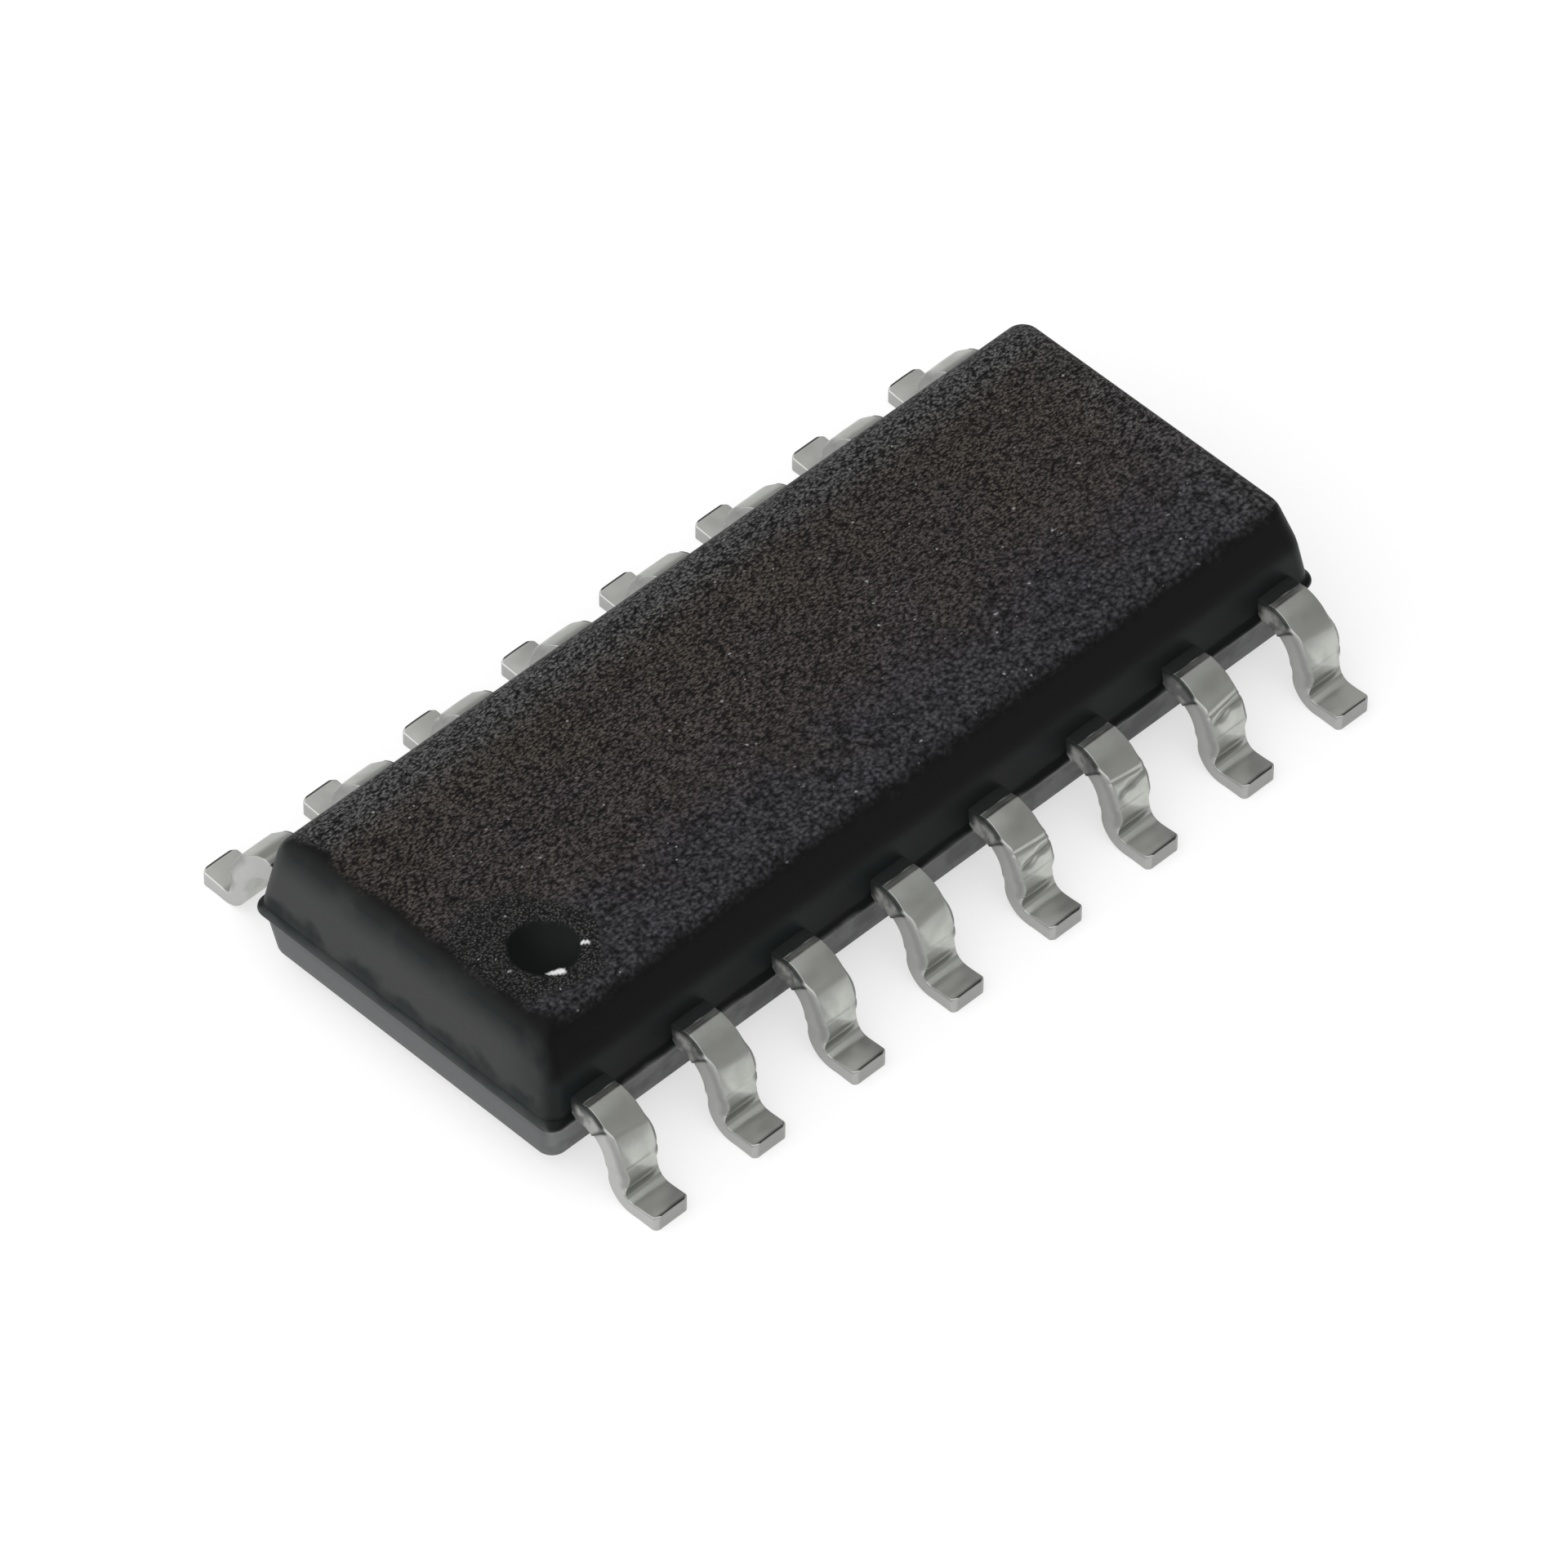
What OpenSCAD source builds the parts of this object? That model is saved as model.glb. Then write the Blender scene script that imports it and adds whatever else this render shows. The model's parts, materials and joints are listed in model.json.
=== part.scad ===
// Sixteen-lead small-outline integrated circuit with gull-wing leads.
// Millimetres. +Z is up from the seating plane, +X runs along the package and
// lead 1 is at the -X end of the -Y side. The origin is the centre of the footprint.

/* [Package] */
// Length of the upper half at the parting line
body_l = 9.9; // [9.6:0.05:10.3]
// Width of the upper half at the parting line
body_w = 3.9; // [3.8:0.05:4.1]
// Height of the top face above the seating plane
body_top = 1.69; // [1.6:0.01:1.75]
// Gap under the body
standoff = 0.18; // [0.1:0.01:0.25]
// Height of the parting line, where the leads leave the body
parting_z = 0.73; // [0.66:0.01:0.8]
// Draft angle of the walls
draft = 8.5; // [5:0.5:10]
// Radius of the upright corners
corner_r = 0.16; // [0.1:0.01:0.2]

/* [Mould edges] */
// How far the wall flares out at the parting line
flare_out = 0.03; // [0.02:0.01:0.1]
// Height of the flare above the parting line
flare_h = 0.1; // [0.06:0.01:0.25]
// How far the lower half stands back from the upper half
step_in = 0.02; // [0:0.01:0.08]
// Height of the sloping ledge under the parting line
step_h = 0.06; // [0.04:0.01:0.15]
// Rounding of the top edges
top_r = 0.13; // [0.06:0.01:0.18]
// Rounding of the bottom edges
bottom_r = 0.05; // [0.03:0.01:0.08]
// Height of the bevel along the lead 1 side
bevel_drop = 0.44; // [0.3:0.01:0.5]
// How far the bevel leans in over that height
bevel_run = 0.18; // [0.1:0.01:0.25]

/* [Lead 1 dimple] */
// Diameter of the dimple at the top face
dimple_d = 0.69; // [0.4:0.01:0.9]
// Depth of the dimple
dimple_depth = 0.13; // [0.05:0.01:0.2]
// From the end of the parting line to the middle of the dimple
dimple_in_x = 0.94; // [0.85:0.01:1.4]
// From the side of the parting line to the middle of the dimple
dimple_in_y = 1.06; // [1:0.01:1.3]

/* [Leads] */
// Distance between neighbouring leads
pitch = 1.27; // [1.25:0.01:1.3]
// Width of a lead
lead_w = 0.42; // [0.31:0.01:0.51]
// Thickness of the lead frame
lead_t = 0.2; // [0.17:0.005:0.25]
// Distance across the lead tips
lead_span = 6; // [5.8:0.05:6.2]
// Length of the flat sole
sole_l = 0.28; // [0.2:0.01:0.35]
// Inside radius of the bend at the shoulder
shoulder_r = 0.31; // [0.2:0.01:0.34]
// Inside radius of the bend above the foot
ankle_r = 0.14; // [0.1:0.01:0.2]
// Angle that the shank leans out from upright
shank_lean = 10; // [2:1:14]
// How far the stubs of the cut dam bar stand out beside a lead
stub_out = 0.04; // [0.02:0.01:0.06]
// Angle of the shoulder bend that the stubs take up
stub_turn = 25; // [15:1:40]

/* [Lead frame inside] */
// Length of the die paddle
paddle_l = 3.2; // [3:0.05:3.6]
// Width of the die paddle
paddle_w = 2; // [1.8:0.05:2.1]
// How far the paddle is set below the leads
paddle_drop = 0.15; // [0.05:0.01:0.2]
// Width of the bars that tie the paddle to the frame
tie_w = 0.35; // [0.2:0.01:0.5]
// How far the tie bars are cut back under the end walls
tie_back = 0.12; // [0.05:0.01:0.3]
// Length along the tie bar of the slope down to the paddle
tie_slope = 0.3; // [0.2:0.01:0.5]
// Width of a finger at its tip
finger_w = 0.3; // [0.2:0.01:0.36]
// Gap between the finger tips and the paddle
finger_gap = 0.2; // [0.12:0.01:0.25]
// Width of the tab that locks a lead in the moulding
lock_w = 0.65; // [0.55:0.01:0.8]
// Length of the locking tab
lock_l = 0.22; // [0.15:0.01:0.25]
// Cover of moulding outside the locking tab
lock_in = 0.15; // [0.1:0.01:0.18]

/* [Die and wires] */
// Length of the die
die_l = 2.2; // [1.4:0.05:2.6]
// Width of the die
die_w = 1.4; // [1:0.05:1.5]
// Thickness of the die
die_t = 0.28; // [0.2:0.01:0.35]
// Thickness of the adhesive under the die
attach_t = 0.025; // [0.015:0.005:0.05]
// Width of adhesive squeezed out round the die
attach_rim = 0.06; // [0.02:0.01:0.12]
// From the edge of the die to the middle of its pads
pad_in = 0.1; // [0.06:0.01:0.15]
// Diameter of a bond wire
wire_d = 0.033; // [0.025:0.001:0.04]
// Diameter of the ball at the die end of a wire
ball_d = 0.075; // [0.05:0.005:0.09]
// Height of that ball
ball_h = 0.02; // [0.01:0.005:0.03]
// Height of a wire's loop above the die
loop_h = 0.16; // [0.1:0.01:0.2]
// From the tip of a finger to where its wire lands
stitch_in = 0.12; // [0.08:0.01:0.16]

/* [Hidden] */
leads_per_side = 8;
lead_count = 2 * leads_per_side;
LEADS = [1 : lead_count];

corner_steps = 6;
edge_steps = 4;
wire_sides = 6;
wire_steps = 8;
curve_fn = 96;

draft_t = tan(draft);
bevel_z = body_top - bevel_drop;
lead_top = parting_z + lead_t;
paddle_z = parting_z - paddle_drop;
die_z = paddle_z + lead_t + attach_t;
die_top = die_z + die_t;

// The lead's bent strip is worked out along its middle line.
bend_angle = 90 - shank_lean;
bend_sum = shoulder_r + ankle_r + lead_t;
shank_l = (parting_z - bend_sum * (1 - cos(bend_angle))) / sin(bend_angle);
bends_run = bend_sum * sin(bend_angle) + shank_l * cos(bend_angle);
ankle_out = lead_span / 2 - sole_l;
lock_out = body_w / 2 - lock_in;
finger_root = lock_out - lock_l;
shoulder_l = ankle_out - bends_run - finger_root;

// Outline of the body at one height, as a rectangle with round corners.
// inset draws all four sides in, and bevel draws the lead 1 side in further.
function body_ring(z, inset, bevel) =
    let (
        x = body_l / 2 - inset,
        far = body_w / 2 - inset,
        near = far - bevel,
        r = corner_r,
        middles = [[x - r, far - r], [r - x, far - r], [r - x, r - near], [x - r, r - near]]
    )
    [for (q = [0 : 3], k = [0 : corner_steps])
        let (a = 90 * (q + k / corner_steps))
        [middles[q].x + r * cos(a), middles[q].y + r * sin(a), z]];

function upper_inset(z) = (z - parting_z) * draft_t;
function lower_inset(z) = step_in + (parting_z - z) * draft_t;
function bevel_at(z) = z < bevel_z ? 0 : bevel_run * (z - bevel_z) / bevel_drop;

// Rings of the body from the bottom face up.
body_rings = concat(
    [body_ring(standoff, lower_inset(standoff) + bottom_r, 0)],
    [for (z = [standoff + bottom_r, parting_z - step_h]) body_ring(z, lower_inset(z), 0)],
    [body_ring(parting_z, -flare_out, 0)],
    [for (z = [parting_z + flare_h, bevel_z]) body_ring(z, upper_inset(z), 0)],
    [for (k = [0 : edge_steps])
        let (
            a = 90 * k / edge_steps,
            z = body_top - top_r * (1 - sin(a))
        )
        body_ring(z, upper_inset(z) + top_r * (1 - cos(a)), bevel_at(z))]
);

// Where a lead of the -Y side stands along the package.
function lead_x(k) = (k - (leads_per_side + 1) / 2) * pitch;
function at_end(k) = k == 1 || k == leads_per_side;

// Middle of a finger's tip: the two end fingers reach in beside the ends of the paddle.
function finger_tip(k) =
    at_end(k)
        ? [sign(lead_x(k)) * (paddle_l / 2 + finger_gap), -paddle_w * 3 / 8]
        : [lead_x(k) * paddle_l / 2 / lead_x(leads_per_side - 1), -paddle_w / 2 - finger_gap];

// Where a wire starts on the die.
function die_pad(k) =
    at_end(k)
        ? [sign(lead_x(k)) * (die_l / 2 - pad_in), -die_w / 4]
        : [lead_x(k) * (die_l / 2 - 2 * pad_in) / lead_x(leads_per_side - 1), pad_in - die_w / 2];

// Where a wire lands on its finger.
function stitch(k) =
    let (
        tip = finger_tip(k),
        root = [lead_x(k), -finger_root]
    )
    tip + stitch_in * (root - tip) / norm(root - tip);

function bezier(p, s) =
    pow(1 - s, 3) * p[0] + 3 * s * pow(1 - s, 2) * p[1] + 3 * s * s * (1 - s) * p[2] + pow(s, 3) * p[3];
function bezier_slope(p, s) =
    pow(1 - s, 2) * (p[1] - p[0]) + 2 * s * (1 - s) * (p[2] - p[1]) + s * s * (p[3] - p[2]);

// One ring of a wire: r is its radius, t the way the wire runs and side the level way across it.
function wire_ring(c, r, t, side) =
    let (up = cross(t, side) / norm(t))
    [for (j = [0 : wire_sides - 1])
        let (a = 360 * j / wire_sides)
        c + r * (cos(a) * side + sin(a) * up)];

function wire_rings(k) =
    let (
        pad = die_pad(k),
        land = stitch(k),
        way = (land - pad) / norm(land - pad),
        side = [-way.y, way.x, 0],
        foot = [pad.x, pad.y, die_top],
        neck = foot + [0, 0, ball_h],
        end = [land.x, land.y, lead_top],
        bow = [neck, neck + [0, 0, loop_h * 4 / 3], end + [0, 0, loop_h * 2], end],
        up = [0, 0, 1]
    )
    concat(
        [for (c = [foot, neck]) wire_ring(c, ball_d / 2, up, side)],
        [for (n = [0 : wire_steps])
            let (s = n / wire_steps)
            wire_ring(bezier(bow, s), wire_d / 2, bezier_slope(bow, s), side)]
    );

// Closed skin over a stack of rings with equal numbers of points.
module skin(rings) {
    n = len(rings[0]);
    last = (len(rings) - 1) * n;
    sides = [for (k = [0 : len(rings) - 2], j = [0 : n - 1])
        let (
            a = k * n + j,
            b = k * n + (j + 1) % n
        )
        each [[a, a + n, b + n], [a, b + n, b]]];
    caps = [[for (j = [0 : n - 1]) j], [for (j = [n - 1 : -1 : 0]) last + j]];
    polyhedron([for (ring = rings) each ring], concat(sides, caps));
}

// Turns the -Y side's pieces round to the +Y side for the second half of the leads.
module on_side(i) {
    rotate([0, 0, i > leads_per_side ? 180 : 0])
        children();
}

function on_side_index(i) = i > leads_per_side ? i - leads_per_side : i;

// A bend of the strip, or part of one, turning about the middle of the bend.
module bend(r, turn, w) {
    rotate_extrude(angle = turn, $fn = curve_fn)
        translate([r, -w / 2])
            square([lead_t, w]);
}

// A straight stretch of the strip, running along X.
module strip(l) {
    translate([0, 0, -lead_w / 2])
        cube([l, lead_t, lead_w]);
}

// The strip outside the body, drawn with X outwards and Y up.
// Each stretch starts in the frame of the one before it.
module gull_wing() {
    translate([finger_root, parting_z]) {
        strip(shoulder_l);
        translate([shoulder_l, -shoulder_r]) {
            rotate([0, 0, shank_lean]) {
                bend(shoulder_r, bend_angle, lead_w);
                bend(shoulder_r, stub_turn, lead_w + 2 * stub_out);
            }
            rotate([0, 0, -bend_angle]) {
                translate([0, shoulder_r])
                    strip(shank_l);
                translate([shank_l, shoulder_r + lead_t + ankle_r]) {
                    rotate([0, 0, -90])
                        bend(ankle_r, bend_angle, lead_w);
                    rotate([0, 0, bend_angle])
                        translate([0, -ankle_r - lead_t])
                            strip(sole_l);
                }
            }
        }
    }
}

// The flat finger inside the body, seen from above.
module finger_outline(k) {
    x = lead_x(k);
    tip = finger_tip(k);
    half = finger_w / 2;
    across = at_end(k) ? [0, sign(x) * half] : [half, 0];
    polygon([
        [x - lead_w / 2, -finger_root],
        [x + lead_w / 2, -finger_root],
        tip + across,
        tip - across
    ]);
}

module lead(i) {
    k = on_side_index(i);
    color("#b9bab7")
        on_side(i) {
            translate([lead_x(k), 0, 0])
                rotate([0, 0, -90])
                    rotate([90, 0, 0])
                        gull_wing();
            translate([lead_x(k) - lock_w / 2, -lock_out, parting_z])
                cube([lock_w, lock_l, lead_t]);
            translate([0, 0, parting_z])
                linear_extrude(lead_t)
                    finger_outline(k);
        }
}

// Half of the paddle's tie bars, seen from the side: level, then sloping down to the paddle.
module tie_outline() {
    near = paddle_l / 2;
    far = body_l / 2 - tie_back;
    polygon([
        [0, paddle_z],
        [near, paddle_z],
        [near + tie_slope, parting_z],
        [far, parting_z],
        [far, lead_top],
        [near + tie_slope, lead_top],
        [near, paddle_z + lead_t],
        [0, paddle_z + lead_t]
    ]);
}

module die_paddle() {
    color("#b98a5e") {
        translate([-paddle_l / 2, -paddle_w / 2, paddle_z])
            cube([paddle_l, paddle_w, lead_t]);
        for (turn = [0, 180])
            rotate([0, 0, turn])
                translate([0, tie_w / 2, 0])
                    rotate([90, 0, 0])
                        linear_extrude(tie_w)
                            tie_outline();
    }
}

module die_attach() {
    l = die_l + 2 * attach_rim;
    w = die_w + 2 * attach_rim;
    color("#d9d7cd")
        translate([-l / 2, -w / 2, paddle_z + lead_t])
            cube([l, w, attach_t]);
}

module die() {
    color("#5d6470")
        translate([-die_l / 2, -die_w / 2, die_z])
            cube([die_l, die_w, die_t]);
}

module bond_wire(i) {
    color("#d8b04a")
        on_side(i)
            skin(wire_rings(on_side_index(i)));
}

// Bowl of the lead 1 mark: a cap of a ball that meets the top face in a circle.
module dimple() {
    bowl_r = (pow(dimple_d / 2, 2) + pow(dimple_depth, 2)) / (2 * dimple_depth);
    translate([dimple_in_x - body_l / 2, dimple_in_y - body_w / 2, body_top + bowl_r - dimple_depth])
        sphere(bowl_r, $fn = curve_fn);
}

module package_body() {
    color("#29292b")
        difference() {
            skin(body_rings);
            dimple();
            die_paddle();
            die_attach();
            die();
            for (i = LEADS) {
                lead(i);
                bond_wire(i);
            }
        }
}

package_body();
die_paddle();
die_attach();
die();
for (i = LEADS) {
    lead(i);
    bond_wire(i);
}
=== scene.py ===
"""Looks of a sixteen-lead small-outline chip.

A grained black moulding, plated gull-wing leads and the lead frame, die and wires inside.
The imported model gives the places, and sizes are in metres in the same frame. Only the rates and spans of
the finishes count in millimetres.
"""

import json
import logging
import math
import random
from dataclasses import dataclass
from enum import Enum
from functools import cached_property

import bpy
import numpy as np
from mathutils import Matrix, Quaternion, Vector, noise


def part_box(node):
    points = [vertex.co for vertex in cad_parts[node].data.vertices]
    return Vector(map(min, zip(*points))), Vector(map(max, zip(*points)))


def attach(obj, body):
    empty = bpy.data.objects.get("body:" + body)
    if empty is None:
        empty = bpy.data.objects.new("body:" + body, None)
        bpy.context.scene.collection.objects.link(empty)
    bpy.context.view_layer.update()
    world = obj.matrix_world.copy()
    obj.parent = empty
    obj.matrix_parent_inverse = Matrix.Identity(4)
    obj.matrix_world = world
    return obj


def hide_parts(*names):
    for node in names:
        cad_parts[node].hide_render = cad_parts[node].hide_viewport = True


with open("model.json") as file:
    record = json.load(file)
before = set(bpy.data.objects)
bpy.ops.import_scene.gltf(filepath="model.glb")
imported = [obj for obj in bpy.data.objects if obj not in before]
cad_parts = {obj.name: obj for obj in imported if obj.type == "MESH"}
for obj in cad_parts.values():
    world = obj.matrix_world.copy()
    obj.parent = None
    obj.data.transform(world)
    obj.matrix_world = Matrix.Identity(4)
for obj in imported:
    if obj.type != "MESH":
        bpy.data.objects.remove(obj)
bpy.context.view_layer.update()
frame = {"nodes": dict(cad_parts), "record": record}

MM = 0.001
LEADS_PER_SIDE = 8
GROOVED = (5, 6, 7, 12, 14)
LOG = logging.getLogger("chip")

Colour = tuple[float, float, float, float]
Triple = tuple[float, float, float]
Span = tuple[float, float]
Window = tuple[float, float, float, float]
Faces = list[tuple[int, ...]]
Socket = bpy.types.NodeSocket


class Slot(Enum):
    """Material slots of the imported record."""

    MOULD = "mould"
    TIN = "tin_plate"
    COPPER = "copper"
    ADHESIVE = "adhesive"
    SILICON = "silicon"
    GOLD = "gold"


class Side(Enum):
    """Long sides of the package: its value is the way that the leads point along Y."""

    NEAR = -1
    FAR = 1


def grey(level: float, warm: float = 0.0) -> Colour:
    """Returns a grey of that linear level, with a little red added and blue taken off by warm."""
    return (level * (1 + warm), level, level * (1 - warm), 1.0)


def shifted(span: Span, base: float) -> Span:
    """Returns a span that is counted from a base."""
    return (base + span[0], base + span[1])


def shares(count: int) -> np.ndarray:
    """Returns that many even shares from 0 up, without 1."""
    return np.arange(count) / count


def smooth_step(low: float, high: float, value: np.ndarray) -> np.ndarray:
    """Rises from 0 to 1 between two values.

    Args:
        low: Value at which the step starts.
        high: Value at which the step ends.
        value: Values to look up.

    Returns:
        The height of the step at each value.
    """
    t = np.clip((value - low) / (high - low), 0.0, 1.0)
    return t * t * (3 - 2 * t)


def bump_at(middle: float, reach: float, value: np.ndarray) -> np.ndarray:
    """Returns a round hump of height 1 at the middle, which dies away over the reach."""
    return np.exp(-(((value - middle) / reach) ** 2))


def stretch(edges: Window, value: np.ndarray, height: np.ndarray | float = 1.0) -> np.ndarray:
    """Returns a height that rises from 0 between the first two edges and falls between the last two."""
    return height * smooth_step(edges[0], edges[1], value) * smooth_step(edges[3], edges[2], value)


def lumps(points: np.ndarray, grain: float, seed: float) -> np.ndarray:
    """Smooth random lumps at points in space.

    Args:
        points: Rows of x, y, z.
        grain: Size of one lump.
        seed: Shift that picks another part of the same noise.

    Returns:
        One height from about -1 to 1 for each point.
    """
    scaled = points / grain + seed
    return np.array([noise.noise(Vector(p)) for p in scaled])


def tube_faces(loops: int, count: int, turned: bool = False) -> Faces:
    """Faces between neighbouring loops of points.

    Args:
        loops: Number of loops.
        count: Number of points in a loop.
        turned: Whether the faces look the other way.

    Returns:
        Four corners for each face.
    """
    faces = []
    for start in range(0, (loops - 1) * count, count):
        for j in range(count):
            here, beside = start + j, start + (j + 1) % count
            corners = (here, beside, beside + count, here + count)
            faces.append((here, *corners[:0:-1]) if turned else corners)
    return faces


def mesh_piece(name: str, points: np.ndarray, faces: Faces) -> bpy.types.Object:
    """Makes a smooth-shaded mesh that rides on the part's one body.

    Args:
        name: Name of the piece.
        points: Rows of x, y, z.
        faces: Corners of each face, as rows of points.

    Returns:
        The new object.
    """
    mesh = bpy.data.meshes.new(name)
    mesh.from_pydata(points.tolist(), [], faces)
    mesh.validate()
    mesh.shade_smooth()
    piece = bpy.data.objects.new(name, mesh)
    bpy.context.scene.collection.objects.link(piece)
    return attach(piece, "root")


def paint(piece: bpy.types.Object, weights: dict[str, np.ndarray]) -> None:
    """Stores numbers on the points of a mesh, for its material to read.

    Args:
        piece: The piece.
        weights: One number for each point, by name.
    """
    for name, values in weights.items():
        layer = piece.data.attributes.new(name, "FLOAT", "POINT")
        layer.data.foreach_set("value", values.astype(np.float32))


class Graph:
    """A node tree that is filled by short calls."""

    def __init__(self, tree: bpy.types.NodeTree) -> None:
        """Empties the tree and keeps it."""
        self.tree = tree
        tree.nodes.clear()

    def add(self, kind: str, inputs: dict[str | int, object] | None = None,
            **settings: object) -> bpy.types.Node:
        """Adds a node.

        Args:
            kind: Blender's name of the node type.
            inputs: Values or outputs of other nodes, by name or number of the input.
            settings: Properties of the node.

        Returns:
            The new node.
        """
        node = self.tree.nodes.new(kind)
        for key, value in settings.items():
            setattr(node, key, value)
        for key, value in (inputs or {}).items():
            if isinstance(value, bpy.types.NodeSocket):
                self.tree.links.new(value, node.inputs[key])
            else:
                node.inputs[key].default_value = value
        return node

    @cached_property
    def place(self) -> Socket:
        """The object's own coordinates in millimetres.

        Returns:
            The coordinates.
        """
        own = self.add("ShaderNodeTexCoord").outputs["Object"]
        scaled = self.add("ShaderNodeVectorMath", {0: own, "Scale": 1 / MM}, operation="SCALE")
        return scaled.outputs["Vector"]

    def noise(self, scale: float, detail: float = 2.0, place: Socket | None = None) -> Socket:
        """Returns a noise of about that many lumps to a millimetre, or to a unit of another place."""
        inputs = {"Vector": self.place if place is None else place, "Scale": scale, "Detail": detail}
        return self.add("ShaderNodeTexNoise", inputs).outputs["Fac"]

    def ramp(self, value: Socket, low: float, high: float, start: float = 0.0, end: float = 1.0) -> Socket:
        """Maps a value smoothly.

        Args:
            value: Value to map.
            low: Value that gives start.
            high: Value that gives end.
            start: Result at low and before it.
            end: Result at high and past it.

        Returns:
            The mapped value.
        """
        inputs = {"Value": value, "From Min": low, "From Max": high, "To Min": start, "To Max": end}
        return self.add("ShaderNodeMapRange", inputs, interpolation_type="SMOOTHSTEP").outputs["Result"]

    def mix(self, share: Socket, first: object, second: object) -> Socket:
        """Returns a colour between two others."""
        inputs = {"Factor": share, 6: first, 7: second}
        return self.add("ShaderNodeMix", inputs, data_type="RGBA").outputs[2]

    def maths(self, operation: str, first: object, second: object) -> Socket:
        """Returns the result of an operation on two numbers."""
        return self.add("ShaderNodeMath", {0: first, 1: second}, operation=operation).outputs["Value"]

    def plus(self, first: object, second: object) -> Socket:
        """Returns the sum of two numbers."""
        return self.maths("ADD", first, second)

    def times(self, first: object, second: object) -> Socket:
        """Returns the product of two numbers."""
        return self.maths("MULTIPLY", first, second)

    def most(self, first: object, second: object) -> Socket:
        """Returns the larger of two numbers."""
        return self.maths("MAXIMUM", first, second)

    def weight(self, name: str) -> Socket:
        """Returns a weight that was stored on the mesh."""
        return self.add("ShaderNodeAttribute", attribute_name=name).outputs["Fac"]

    def bump(self, height: Socket, depth: float) -> Socket:
        """Returns the normal of a surface that has that relief."""
        inputs = {"Height": height, "Strength": 1.0, "Distance": depth}
        return self.add("ShaderNodeBump", inputs).outputs["Normal"]

    def surface(self, inputs: dict[str | int, object]) -> None:
        """Ends a material's tree with a principled surface of those inputs."""
        shader = self.add("ShaderNodeBsdfPrincipled", inputs)
        self.add("ShaderNodeOutputMaterial", {"Surface": shader.outputs["BSDF"]})


def new_material(name: str) -> tuple[bpy.types.Material, Graph]:
    """Makes a material.

    Args:
        name: Its name.

    Returns:
        The material and its empty tree.
    """
    material = bpy.data.materials.new(name)
    material.use_nodes = True
    return material, Graph(material.node_tree)


def dress(piece: bpy.types.Object, material: bpy.types.Material) -> None:
    """Gives a piece one material in place of those it had."""
    piece.data.materials.clear()
    piece.data.materials.append(material)


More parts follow.
